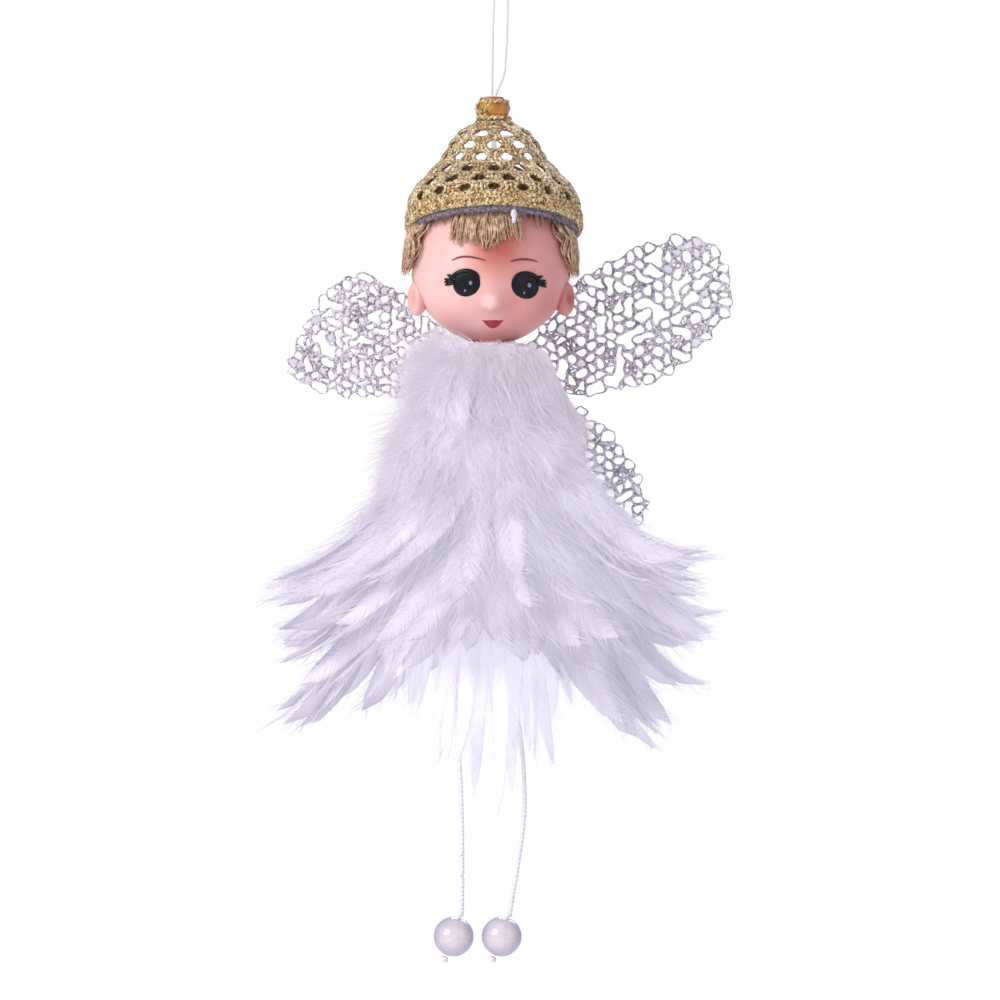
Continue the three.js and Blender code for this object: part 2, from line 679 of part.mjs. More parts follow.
// One gap of the net: a six-sided cell whose corners are shaken, drawn in from the wing's edge
function netGap(centreX, centreY, outline) {
  const corners = [];
  for (let k = 0; k < 6; k++) {
    const angle = (k + 0.5) * (Math.PI / 3);
    const cornerX = centreX + (NET_CELL / Math.sqrt(3)) * Math.cos(angle);
    const cornerY = centreY + (NET_CELL / Math.sqrt(3)) * Math.sin(angle);
    const keyX = Math.round(cornerX * 2);
    const keyY = Math.round(cornerY * 2);
    const offset = new THREE.Vector2(
      cornerX + (scatter(keyX, keyY) - 0.5) * 2 * NET_JITTER - centreX,
      cornerY + (scatter(keyY, keyX) - 0.5) * 2 * NET_JITTER - centreY,
    );
    offset.setLength(offset.length() - NET_STRAND / Math.sqrt(3));
    while (!insideOutline(centreX + offset.x, centreY + offset.y, outline, NET_RIM)) {
      offset.multiplyScalar(0.85);
      if (offset.length() < NET_STRAND / 2) return null;
    }
    corners.push(new THREE.Vector2(centreX + offset.x, centreY + offset.y));
  }
  return corners;
}

function wingNet(outlinePoints, [rootFoot, rootTop]) {
  const shape = new THREE.Shape();
  const seam = (GAP / 2) * Math.sign(outlinePoints[0][0]);
  shape.moveTo(seam, rootFoot);
  shape.lineTo(seam, rootTop);
  const edge = [...outlinePoints, [seam, rootFoot]].map(([x, y]) => new THREE.Vector2(x, y));
  shape.splineThru(edge);
  const outline = shape.getPoints(OUTLINE_STEPS);
  const box = new THREE.Box2().setFromPoints(outline);
  const rowHeight = (NET_CELL * Math.sqrt(3)) / 2;
  const rows = Math.ceil((box.max.y - box.min.y) / rowHeight);
  const columns = Math.ceil((box.max.x - box.min.x) / NET_CELL);
  for (let row = 0; row <= rows; row++) {
    for (let column = 0; column <= columns; column++) {
      const x = box.min.x + (column + (row % 2) / 2) * NET_CELL;
      const y = box.min.y + row * rowHeight;
      if (!insideOutline(x, y, outline, NET_RIM + NET_STRAND)) continue;
      if (scatter(row + 3, column + 7) < NET_CLOSED) continue;
      const gap = netGap(x, y, outline);
      if (gap) shape.holes.push(new THREE.Path(gap));
    }
  }
  const options = { depth: NET_THICKNESS, bevelEnabled: false, curveSegments: OUTLINE_STEPS };
  return new THREE.ExtrudeGeometry(shape, options).translate(0, 0, -NET_THICKNESS / 2).rotateX(Math.PI / 2);
}

const wingReach = PATCH_REACH + PATCH_THICKNESS / 2;
for (const [name, outlinePoints] of Object.entries(WING_OUTLINES)) {
  const side = name.startsWith('left') ? -1 : 1;
  const lower = name.includes('lower');
  const net = wingNet(outlinePoints, lower ? WING_ROOT.lower : WING_ROOT.upper);
  const wing = piece(name, net, 0xc9c8d6, 0.3, 0.7);
  wing.position.x = PATCH_SHIFT + side * (PATCH_WIDTH / 2 + GAP / 2);
  wing.position.y = wingReach;
  wing.position.z = patchMiddle + (lower ? -LOWER_ROOT_DROP : UPPER_ROOT_RISE);
  if (lower) wing.rotation.x = LOWER_WING_TILT * degrees;
}

// Legs: hip knot, bowed cord, pearl on a tilted bore, and the knot that keeps the pearl on
const hipRadius = HIP_KNOT_DIAMETER / 2;
const zHip = zBaseFoot - GAP - hipRadius;
const zCordTop = zHip - hipRadius - GAP;
const boreX = Math.sin(PEARL_TILT * degrees);
const boreZ = Math.cos(PEARL_TILT * degrees);

// A pearl's piece is made upright at the origin, then leaned over and set at the pearl's middle
function onPearl(geometry, middleX, middleZ) {
  return geometry.rotateY(PEARL_TILT * degrees).translate(middleX, 0, middleZ);
}

function pearlKnot() {
  const stem = PEARL_STEM_DIAMETER / 2;
  const knot = PEARL_KNOT_DIAMETER / 2;
  const top = PEARL_DIAMETER / 2 - GAP;
  const under = -PEARL_DIAMETER / 2 - GAP / 2;
  const profile = [
    [0, under - PEARL_KNOT_DIAMETER],
    [knot, under - knot],
    [stem, under],
    [stem, top],
    [0, top],
  ];
  return turned(profile, TINY_SIDES);
}

for (const [side, { hip, bow }] of Object.entries(LEG_ROUTES)) {
  const knot = new THREE.SphereGeometry(hipRadius, ...KNOT_FACETS);
  piece(`${side}_hip_knot`, knot.translate(hip, 0, zHip), 0xf6f5fa, 0.8);
  const route = bow.map((x, i) => [hip + x, 0, zCordTop - (LEG_LENGTH * i) / (bow.length - 1)]);
  piece(`${side}_leg_cord`, cord(route, LEG_CORD_DIAMETER, CORD_STEPS), 0xf4f2f8, 0.8);
  const [endX, , endZ] = route[route.length - 1];
  const middleX = endX - (PEARL_DIAMETER / 2) * boreX;
  const middleZ = endZ - (PEARL_DIAMETER / 2) * boreZ - GAP;
  const sphere = new THREE.SphereGeometry(PEARL_DIAMETER / 2, ...PEARL_FACETS);
  const ball = solid(sphere.rotateX(Math.PI / 2));
  const bore = solid(ring(PEARL_BORE / 2, 0, -PEARL_DIAMETER, PEARL_DIAMETER, BORE_SIDES));
  const pearl = geometryOf(ball.subtract(bore));
  piece(`${side}_pearl`, onPearl(pearl, middleX, middleZ), 0xf3ecf2, 0.15);
  piece(`${side}_pearl_knot`, onPearl(pearlKnot(), middleX, middleZ), 0xf4f2f8, 0.8);
}

export default fairy;
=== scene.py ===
"""The looks of a hanging fairy ornament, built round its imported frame. Metres, +Z up, facing -Y."""
import random
from math import asin, atan2, copysign, cos, exp, hypot, pi, radians, sin, sqrt, tan

import bmesh
import bpy
from mathutils import Matrix, Vector


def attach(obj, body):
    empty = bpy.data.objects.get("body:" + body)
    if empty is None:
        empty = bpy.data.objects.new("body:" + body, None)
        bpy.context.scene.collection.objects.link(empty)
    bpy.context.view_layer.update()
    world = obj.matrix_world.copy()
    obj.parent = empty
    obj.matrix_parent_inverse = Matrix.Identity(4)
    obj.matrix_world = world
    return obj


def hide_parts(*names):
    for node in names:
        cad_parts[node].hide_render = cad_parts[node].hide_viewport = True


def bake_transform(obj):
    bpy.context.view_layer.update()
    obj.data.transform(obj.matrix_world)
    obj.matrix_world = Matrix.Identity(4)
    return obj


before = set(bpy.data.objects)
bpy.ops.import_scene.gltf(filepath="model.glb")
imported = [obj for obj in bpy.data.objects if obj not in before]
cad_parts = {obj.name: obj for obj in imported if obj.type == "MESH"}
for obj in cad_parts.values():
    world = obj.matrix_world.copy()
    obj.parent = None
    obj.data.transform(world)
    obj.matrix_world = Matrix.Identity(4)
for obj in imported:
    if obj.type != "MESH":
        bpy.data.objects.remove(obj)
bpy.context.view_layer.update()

# Camera: a level product shot from straight in front of the fairy, about a metre back.
# The frame is 200 mm wide where the fairy hangs.
mm = 0.001
VIEW_WIDTH = 200 * mm
CAMERA_BACK = 1050 * mm
CAMERA_MIDDLE = Vector((1.2, 0, -104)) * mm


def linked(name, data):
    """A new object in the scene."""
    made = bpy.data.objects.new(name, data)
    bpy.context.scene.collection.objects.link(made)
    return made


camera_data = bpy.data.cameras.new("camera")
camera_data.lens = camera_data.sensor_width * CAMERA_BACK / VIEW_WIDTH
camera = linked("camera", camera_data)
camera.location = CAMERA_MIDDLE - Vector((0, CAMERA_BACK, 0))
camera.rotation_euler = (radians(90), 0, 0)
bpy.context.scene.camera = camera

# Hanging thread: a loop of clear nylon line that comes up out of the bead's hole in two strands.
# Its top lies just above the frame, where a hook would take it.
THREAD_DIAMETER = 0.4 * mm
LOOP_FOOT = -23.1 * mm
LOOP_TOP = -0.2 * mm
LOOP_ROUTE = [  # X in millimetres, and share of the loop's height
    (-0.35, 0), (-0.35, 0.05), (-0.3, 0.18), (-0.25, 0.35), (-0.2, 0.53), (-0.1, 0.7), (0, 0.83), (0, 0.94),
    (0.4, 0.983), (1.37, 1), (2.35, 0.983),
    (2.75, 0.94), (2.75, 0.83), (2.75, 0.7), (2.6, 0.53), (2.4, 0.35), (2, 0.18), (0.8, 0.05), (0.35, 0),
]


def colour(code):
    """Linear RGBA of a web colour such as 'f3b79f'."""
    parts = [int(code[i:i + 2], 16) / 255 for i in (0, 2, 4)]
    return tuple(p / 12.92 if p < 0.04045 else ((p + 0.055) / 1.055) ** 2.4 for p in parts) + (1.0,)


class Finish:
    """A procedural material: its shader, and short ways to add nodes in front of it."""

    def __init__(self, name, **sockets):
        self.material = bpy.data.materials.new(name)
        self.material.use_nodes = True
        self.tree = self.material.node_tree
        self.shader = self.tree.nodes["Principled BSDF"]
        for socket, value in sockets.items():
            self.shader.inputs[socket.replace("_", " ")].default_value = value
        self.coordinates = self.add("TexCoord")
        self.place = self.coordinates.outputs["Object"]

    def add(self, kind, inputs=None, **settings):
        """A new node. An input is a plain value, or the output of another node."""
        new = self.tree.nodes.new("ShaderNode" + kind)
        for key, value in settings.items():
            setattr(new, key, value)
        for key, value in (inputs or {}).items():
            if isinstance(value, bpy.types.NodeSocket):
                self.tree.links.new(value, new.inputs[key])
            else:
                new.inputs[key].default_value = value
        return new

    def drive(self, socket, output):
        self.tree.links.new(output, self.shader.inputs[socket])

    def noise(self, scale, detail=3.0):
        """Soft noise with `scale` lumps to the metre."""
        inputs = {"Vector": self.place, "Scale": scale, "Detail": detail}
        return self.add("TexNoise", inputs).outputs["Fac"]

    def flakes(self, scale):
        """A random grey for each of `scale` cells to the metre, as on glitter."""
        cells = self.add("TexVoronoi", {"Vector": self.place, "Scale": scale})
        return self.add("SeparateColor", {"Color": cells.outputs["Color"]}).outputs["Red"]

    def tint(self, factor, *stops):
        """Colour it by a factor, through (position, web colour) stops."""
        new = self.add("ValToRGB", {"Fac": factor})
        elements = new.color_ramp.elements
        elements.remove(elements[1])
        elements[0].position = stops[0][0]
        elements[0].color = colour(stops[0][1])
        for position, code in stops[1:]:
            elements.new(position).color = colour(code)
        self.drive("Base Color", new.outputs["Color"])

    def between(self, factor, low, high):
        """A number from low to high as a factor goes from 0 to 1."""
        inputs = {"Value": factor, "To Min": low, "To Max": high}
        return self.add("MapRange", inputs).outputs["Result"]

    def calc(self, operation, *values):
        """The result of a Math node."""
        return self.add("Math", dict(enumerate(values)), operation=operation).outputs[0]

    def bump(self, height, depth, strength=1.0):
        """Relief of that depth in metres."""
        inputs = {"Height": height, "Distance": depth, "Strength": strength}
        self.drive("Normal", self.add("Bump", inputs).outputs["Normal"])

    def mottle(self, scale, dark, light, detail=3.0):
        """Colour it by soft noise, from a dark to a light web colour."""
        self.tint(self.noise(scale, detail), (0.3, dark), (0.7, light))
        return self

    def grain(self, scale, depth, strength=1.0, detail=3.0):
        """Give it relief by soft noise."""
        self.bump(self.noise(scale, detail), depth, strength)
        return self


def smooth_route(points, steps):
    """Points along a smooth curve through a route, with that many steps to each of its spans."""
    points = [Vector(p) for p in points]
    ends = [2 * points[0] - points[1], *points, 2 * points[-1] - points[-2]]
    made = []
    for before, start, end, after in zip(ends, ends[1:], ends[2:], ends[3:]):
        for step in range(steps):
            t = step / steps
            bend = (2 * before - 5 * start + 4 * end - after) * t * t
            twist = (3 * start - before - 3 * end + after) * t ** 3
            made.append((2 * start + (end - before) * t + bend + twist) / 2)
    return made + [points[-1]]


def wire(paths, thickness, sides=6, closed=False):
    """A curve of round strands, each along its own list of (place, share of the full thickness)."""
    curve = bpy.data.curves.new("wire", "CURVE")
    curve.dimensions = "3D"
    curve.bevel_depth = thickness / 2
    curve.bevel_resolution = sides // 2 - 2
    curve.use_fill_caps = not closed
    for path in paths:
        spline = curve.splines.new("POLY")
        spline.points.add(len(path) - 1)
        spline.use_cyclic_u = closed
        spline.points.foreach_set("co", [part for place, _ in path for part in (*place, 1)])
        spline.points.foreach_set("radius", [share for _, share in path])
    return curve


def show(data, name, finish, body, nodes=()):
    """A new piece of the fairy: it rides a body, if one is named, and stands for its CAD nodes."""
    data.name = name
    data.materials.clear()
    data.materials.append(finish.material)
    piece = linked(name, data)
    if body:
        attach(piece, body)
    if nodes:
        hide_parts(*nodes)
    return piece


nylon = Finish("clear_nylon", Base_Color=colour("f7f5fb"), IOR=1.45, Transmission_Weight=0.35)
nylon.drive("Roughness", nylon.between(nylon.noise(900), 0.1, 0.3))
nylon.grain(2500, 0.02 * mm, 0.4)

loop_route = [(x * mm, 0, LOOP_FOOT + (LOOP_TOP - LOOP_FOOT) * share) for x, share in LOOP_ROUTE]
loop_path = [(place, 1.0) for place in smooth_route(loop_route, 6)]
loop_curve = wire([loop_path], THREAD_DIAMETER, sides=10)
thread = show(loop_curve, "nylon_loop", nylon, "thread", ["hanging_thread"])

# Legs: two white cords, each of three strands twisted together, that hang from knots under the
# dress. Each runs into a pearl, and a small knot under the pearl keeps it on.
LEG_DIAMETER = 1.0 * mm
LEG_LENGTH = 60.4 * mm
LEG_TOP = -126.92 * mm
HIP_DROP = 1.5 * mm  # from the hip knot's middle to the cord's top
HIP_KNOT_SIZE = 2.3 * mm
PEARL_DIAMETER = 8 * mm
PEARL_BORE = 1.5 * mm
PEARL_TILT = radians(23)
PEARL_GAP = 0.3 * mm
PEARL_KNOT_SIZE = 1.8 * mm
LEG_TWIST = 2.6 * mm  # length of one whole turn of the strands
LEG_ROUTES = {  # hip in X, and how far the cord bows to +X of it on the way down, in millimetres
    "left": (-8, [0, 0, 0.1, 0.2, 0.4, 0.6, 0.8, 1, 1.2, 1.4, 1.5, 1.6, 1.6, 1.6, 1.6, 1.5]),
    "right": (1.6, [0, 0, 0.7, 1.5, 2.4, 3.1, 3.7, 4.1, 4.4, 4.5, 4.4, 4, 3.4, 2.8, 2.1, 1.5]),
}


def mesh_of(bm):
    """A smooth-shaded mesh from a bmesh, which is then freed."""
    mesh = bpy.data.meshes.new("mesh")
    for face in bm.faces:
        face.smooth = True
    bm.to_mesh(mesh)
    bm.free()
    return mesh


def strands(paths, thickness, sides=6, closed=False):
    """A mesh of round strands along the same paths as a wire's."""
    curve = wire(paths, thickness, sides, closed)
    holder = linked("strands", curve)
    ready = holder.evaluated_get(bpy.context.evaluated_depsgraph_get())
    mesh = bpy.data.meshes.new_from_object(ready)
    bpy.data.objects.remove(holder)
    bpy.data.curves.remove(curve)
    mesh.polygons.foreach_set("use_smooth", [True] * len(mesh.polygons))
    return mesh


def twisted_cord(points, diameter):
    """A cord of three strands: a three-lobed section carried along the points, turning as it goes."""
    bm = bmesh.new()
    ring = bmesh.ops.create_circle(bm, segments=12, radius=diameter / 2, cap_ends=False)["verts"]
    for vert in ring:
        angle = atan2(vert.co.y, vert.co.x)
        vert.co *= 0.86 + 0.14 * cos(3 * angle)
    edges = list(bm.edges)
    travelled = 0.0
    held = Matrix.Identity(4)
    for index, place in enumerate(points):
        ahead = points[min(index + 1, len(points) - 1)] - points[max(index - 1, 0)]
        travelled += (place - points[max(index - 1, 0)]).length
        turn = Matrix.Rotation(travelled / LEG_TWIST * 2 * pi, 4, "Z")
        wanted = Matrix.Translation(place) @ ahead.to_track_quat("Z", "Y").to_matrix().to_4x4() @ turn
        if index:
            grown = bmesh.ops.extrude_edge_only(bm, edges=edges)["geom"]
            ring = [item for item in grown if isinstance(item, bmesh.types.BMVert)]
            edges = [item for item in grown if isinstance(item, bmesh.types.BMEdge)]
        bmesh.ops.transform(bm, matrix=wanted @ held.inverted(), verts=ring)
        held = wanted
    bmesh.ops.holes_fill(bm, edges=[edge for edge in bm.edges if edge.is_boundary])
    bmesh.ops.recalc_face_normals(bm, faces=bm.faces)
    return mesh_of(bm)


def tied_knot(middle, size, lean):
    """An overhand knot, pulled tight: a tube along a trefoil, with its axis leaning to +X."""
    path = []
    for step in range(48):
        t = step / 48 * 2 * pi
        place = Vector((
            sin(t) + 2 * sin(2 * t),
            cos(t) - 2 * cos(2 * t),
            -1.3 * sin(3 * t),
        ))
        place = Matrix.Rotation(lean, 3, "Y") @ (place * size * 0.115)
        path.append((middle + place, 1.0))
    return strands([path], size * 0.36, sides=8, closed=True)


def turned(profile, steps):
    """A bmesh turned round the upright axis from a closed profile of (radius, height)."""
    bm = bmesh.new()
    line = [bm.verts.new((radius, 0, height)) for radius, height in profile]
    edges = [bm.edges.new(pair) for pair in zip(line, line[1:] + line[:1])]
    bmesh.ops.spin(
        bm, geom=line + edges, axis=(0, 0, 1), cent=(0, 0, 0), angle=2 * pi, steps=steps, use_merge=True,
    )
    bmesh.ops.remove_doubles(bm, verts=bm.verts, dist=1e-7)
    return bm


def soften(bm, edges, width, segments=3):
    """Take edges off by a width."""
    bmesh.ops.bevel(
        bm, geom=edges, offset=width, affect="EDGES", segments=segments, profile=0.5, material=-1,
    )


def pearl(middle, lean):
    """A round pearl with rolled edges at its bore, turned as one profile and leant over."""
    radius = PEARL_DIAMETER / 2
    edge = asin(PEARL_BORE / PEARL_DIAMETER)
    arc = [edge + (pi - 2 * edge) * step / 24 for step in range(25)]
    bm = turned([(radius * sin(a), radius * cos(a)) for a in arc], 48)
    bmesh.ops.recalc_face_normals(bm, faces=bm.faces)
    soften(bm, [edge for edge in bm.edges if edge.calc_face_angle(0) > radians(40)], 0.15 * mm)
    leant = Matrix.Translation(middle) @ Matrix.Rotation(lean, 4, "Y")
    bmesh.ops.transform(bm, matrix=leant, verts=bm.verts)
    return mesh_of(bm)


cotton = Finish("white_cord", Roughness=0.75, Sheen_Weight=0.3).mottle(1800, "f4f2f8", "ffffff")
cotton.grain(9000, 0.06 * mm, detail=2.0)

nacre = Finish(
    "pearl_nacre", Roughness=0.22, Coat_Weight=0.6, Coat_Roughness=0.06,
    Subsurface_Weight=0.15, Subsurface_Scale=1.0 * mm,
)
# Painted sheen: the nacre is lightest where it faces the view, darker towards its rim and a little lighter
# again at the very edge, with soft cloudy noise over it.
facing = nacre.add("LayerWeight", {"Blend": 0.45}).outputs["Facing"]
sheen_and_cloud = nacre.calc("ADD", facing, nacre.between(nacre.noise(260), -0.12, 0.12))
nacre.tint(sheen_and_cloud, (0.05, "e4dde0"), (0.3, "d0c8d2"), (0.6, "b0aabc"), (0.9, "ccc6d4"))
nacre.grain(700, 0.02 * mm, 0.5)

for side, (hip, bow) in LEG_ROUTES.items():
    leg = side + "_leg"
    route = [
        Vector(((hip + shift) * mm, 0, LEG_TOP - LEG_LENGTH * index / (len(bow) - 1)))
        for index, shift in enumerate(bow)
    ]
    path = smooth_route(route, 16)
    axis = Vector((sin(PEARL_TILT), 0, cos(PEARL_TILT)))
    middle = route[-1] - axis * PEARL_DIAMETER / 2 - Vector((0, 0, PEARL_GAP))
    foot = middle - axis * (PEARL_DIAMETER / 2 + PEARL_KNOT_SIZE / 2)
    end_knot = tied_knot(foot, PEARL_KNOT_SIZE, PEARL_TILT)
    top_knot = tied_knot(route[0] + Vector((0, 0, HIP_DROP)), HIP_KNOT_SIZE, 0)
    cord_mesh = twisted_cord(path, LEG_DIAMETER)
    cord_piece = show(cord_mesh, side + "_twisted_cord", cotton, leg, [leg + "_cord"])
    pearl_mesh = pearl(middle, PEARL_TILT)
    pearl_piece = show(pearl_mesh, side + "_round_pearl", nacre, leg, [side + "_pearl"])
    knot_piece = show(end_knot, side + "_end_knot", cotton, leg, [side + "_pearl_knot"])
    show(top_knot, side + "_top_knot", cotton, side + "_hip", [side + "_hip_knot"])

# Studio: a pale floor well below the hanging fairy, a white surround and three soft lamps.
# The main lamp stands to the left and in front, so the right side falls into a lilac shade.
FLOOR_LEVEL = -450 * mm
FLOOR_RADIUS = 2200 * mm
LAMPS = {  # place, width, power in watts and colour
    "main_lamp": ((-0.88, -0.85, 0.45), 0.7, 10.5, "fffaf5"),
    "right_lamp": ((0.95, -0.7, 0.1), 0.9, 1.2, "f3efff"),
    "back_lamp": ((0.25, 0.9, 0.6), 0.8, 6.0, "fbf8ff"),
}
floor_bm = bmesh.new()
bmesh.ops.create_circle(floor_bm, cap_ends=True, segments=96, radius=FLOOR_RADIUS)
bmesh.ops.translate(floor_bm, verts=floor_bm.verts, vec=(0, 0, FLOOR_LEVEL))
paper = Finish("floor_paper", Roughness=0.9).mottle(40, "f2f1f5", "fbfbfd")
floor_mesh = mesh_of(floor_bm)
floor_mesh.materials.append(paper.material)
floor = linked("floor", floor_mesh)

for name, (place, width, power, tint) in LAMPS.items():
    lamp = bpy.data.lights.new(name, "AREA")
    lamp.size = width
    lamp.energy = power
    lamp.color = colour(tint)[:3]
    holder = linked(name, lamp)
    holder.location = place
    holder.rotation_euler = (CAMERA_MIDDLE - Vector(place)).to_track_quat("-Z", "Y").to_euler()

surround = bpy.data.worlds.new("surround")
surround.use_nodes = True
bpy.context.scene.world = surround
air = surround.node_tree
glow = air.nodes["Background"]
glow.inputs["Color"].default_value = colour("e9e6f6")
glow.inputs["Strength"].default_value = 0.66
backdrop = air.nodes.new("ShaderNodeBackground")
backdrop.inputs["Color"].default_value = (1, 1, 1, 1)
seen = air.nodes.new("ShaderNodeLightPath")
choice = air.nodes.new("ShaderNodeMixShader")
air.links.new(seen.outputs["Is Camera Ray"], choice.inputs["Fac"])
air.links.new(glow.outputs["Background"], choice.inputs[1])
air.links.new(backdrop.outputs["Background"], choice.inputs[2])
air.links.new(choice.outputs["Shader"], air.nodes["World Output"].inputs["Surface"])
bpy.context.scene.view_settings.view_transform = "Standard"

# Bead on the cap's tip: amber glass, cut in staggered rows of facets, with a bore for the thread.
# The thread runs down through it to a knot under a washer inside the head.
BEAD_TOP = -23.4 * mm
BEAD_HEIGHT = 4.6 * mm
BEAD_FACETS = 9
BEAD_BORE = 1.9 * mm
BEAD_ROWS = [(2.1, 0), (3.0, 0.22), (3.3, 0.5), (3.0, 0.78), (2.1, 1)]  # radius in mm, share of the height

bead_profile = [(BEAD_BORE / 2, 0), *[(r * mm, share) for r, share in BEAD_ROWS], (BEAD_BORE / 2, 1)]
bead_bm = turned([(r, BEAD_TOP - BEAD_HEIGHT * share) for r, share in bead_profile], BEAD_FACETS)
for _, share in BEAD_ROWS[1::2]:
    level = BEAD_TOP - BEAD_HEIGHT * share
    row = [v for v in bead_bm.verts if abs(v.co.z - level) < 1e-6]
    bmesh.ops.rotate(bead_bm, verts=row, matrix=Matrix.Rotation(pi / BEAD_FACETS, 3, "Z"))
bmesh.ops.triangulate(bead_bm, faces=bead_bm.faces)
bmesh.ops.recalc_face_normals(bead_bm, faces=bead_bm.faces)
soften(bead_bm, bead_bm.edges[:], 0.07 * mm, 1)
amber = Finish("amber_glass", Roughness=0.06, IOR=1.55, Transmission_Weight=0.55, Coat_Weight=0.5)
amber.tint(amber.noise(330, 2.0), (0.3, "8a4516"), (0.45, "d8801e"), (0.58, "f4a828"), (0.72, "ffd850"))
bead_mesh = mesh_of(bead_bm)
bead_mesh.polygons.foreach_set("use_smooth", [False] * len(bead_mesh.polygons))
show(bead_mesh, "amber_bead", amber, "bead", ["tip_bead"])


def dress_node(node, finish):
    """Give a CAD node that shows its own shape a procedural finish."""
    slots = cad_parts[node].data.materials
    slots.clear()
    slots.append(finish.material)


# The knot glows a little: painted light.
glowing_knot_nylon = Finish("glowing_knot_nylon", Roughness=0.3, Emission_Color=colour("ffffff"), Emission_Strength=0.4)
dress_node("thread_knot", glowing_knot_nylon.mottle(900, "efedf5", "ffffff"))
dress_node("knot_washer", Finish("washer_plastic", Roughness=0.45).mottle(500, "dcdce2", "f0f0f4"))

# Cap: a bell crocheted from gold tinsel yarn, seven rows of open cells between rings of chain stitch.
# It is glued to the crown, and its brim rises at the front.
CAP_TIP = -28.9 * mm
CAP_HEIGHT = 21.1 * mm
CAP_TILT = tan(radians(14))
TIP_NOD = tan(radians(4))
CAP_SHAPE = [  # radius in mm, share of the height
    (3.4, 0), (6, 0.06), (8.2, 0.17), (10.1, 0.33), (13.2, 0.49), (16.1, 0.66), (16.8, 0.82), (17, 1),
]
CAP_RINGS = [-0.015, 0.035, 0.13, 0.245, 0.355, 0.485, 0.66, 0.845]  # shares of the height
CAP_CELLS = [6, 8, 10, 12, 14, 16, 18]  # cells in each row between two rings
YARN = 0.85 * mm
POST = (-1.5, -0.5, 0.5, 1.5)  # the strands of a post, side by side
cap_line = smooth_route([(r * mm, 0, share) for r, share in CAP_SHAPE], 12)
yarn_random = random.Random(11)


def cap_radius(share):
    """The cap's radius at a share of its height."""
    for above, below in zip(cap_line, cap_line[1:]):
        if share <= below.z:
            part = (share - above.z) / max(below.z - above.z, 1e-9)
            return above.x + (below.x - above.x) * max(part, 0)
    return cap_line[-1].x


def around(angle, radius, height):
    """A point at an angle round the upright axis."""
    return Vector((radius * cos(angle), radius * sin(angle), height))


def on_cap(angle, share, out=0.0):
    """A point on the cap, or out from it. The brim rises in front, and the tip nods forwards."""
    radius = cap_radius(share) + out
    part = min(1, max(0, (share - 0.3) / 0.7))
    eased = part * part * (3 - 2 * part)
    tilt = CAP_TILT * eased - TIP_NOD * (1 - eased)
    return around(angle, radius, CAP_TIP - CAP_HEIGHT * share - radius * sin(angle) * tilt)


def plaited_ring(share, out, ply, yarn, stitch, swing):
    """Strands that wind round one another on a ring of the cap, as a row of chain stitches."""
    stitches = max(5, round(cap_radius(share) * 2 * pi / stitch))
    steps = stitches * 8
    paths = []
    for strand in range(ply):
        path = []
        for step in range(steps):
            angle = step / steps * 2 * pi
            phase = step / 8 * 2 * pi + strand / ply * 2 * pi
            rise = swing * sin(phase) / CAP_HEIGHT
            place = on_cap(angle, share + rise, out + 0.75 * swing * cos(phase))
            path.append((place, yarn_random.uniform(0.82, 1.12)))
        paths.append(path)
    return strands(paths, yarn, closed=True)


def join(meshes):
    """One mesh from several, which are then removed."""
    bm = bmesh.new()
    for mesh in meshes:
        bm.from_mesh(mesh)
        bpy.data.meshes.remove(mesh)
    return mesh_of(bm)


def cap_posts():
    """The bundles of strands that stand between the cells, staggered from row to row."""
    paths = []
    for row, (top, foot) in enumerate(zip(CAP_RINGS, CAP_RINGS[1:])):
        count = CAP_CELLS[row]
        for post in range(count):
            turn = post / count * 2 * pi
            for lean in POST:
                path = []
                for step in range(7):
                    along = step / 6
                    spread = lean * (0.62 + 0.07 * row + 0.26 * cos(2 * pi * along)) * mm
                    share = top + (foot - top) * along
                    angle = turn + spread / cap_radius(share) * min(1, cap_radius(share) / (6 * mm))
                    bulge = 0.3 * mm * sin(pi * along) - 0.08 * mm * abs(lean)
                    path.append((on_cap(angle, share, bulge), yarn_random.uniform(0.85, 1.2)))
                paths.append(path)
    return strands(paths, YARN)


def tinsel(name, metal, dark, middle, light, bright, patchy=0.0):
    """Metallic yarn with bright flakes of foil in it, darker and lighter in patches."""
    finish = Finish(name, Metallic=metal)
    shine = finish.calc("MULTIPLY", finish.flakes(3000), finish.noise(700))
    shine = finish.calc("ADD", shine, finish.between(finish.noise(170), -patchy, patchy))
    finish.tint(shine, (0.05, dark), (0.2, middle), (0.36, light), (0.52, bright))
    finish.drive("Roughness", finish.between(finish.flakes(5200), 0.3, 0.6))
    finish.bump(finish.flakes(3600), 0.15 * mm)
    return finish


gold_yarn = tinsel("gold_yarn", 0.3, "80643e", "c4a571", "ead5a2", "fffae2")
rings = [
    plaited_ring(share, out=0, ply=2, yarn=0.7 * mm, stitch=2.2 * mm, swing=0.22 * mm)
    for share in CAP_RINGS
]
show(join([*rings, cap_posts()]), "crochet_cap", gold_yarn, "head", ["cap"])

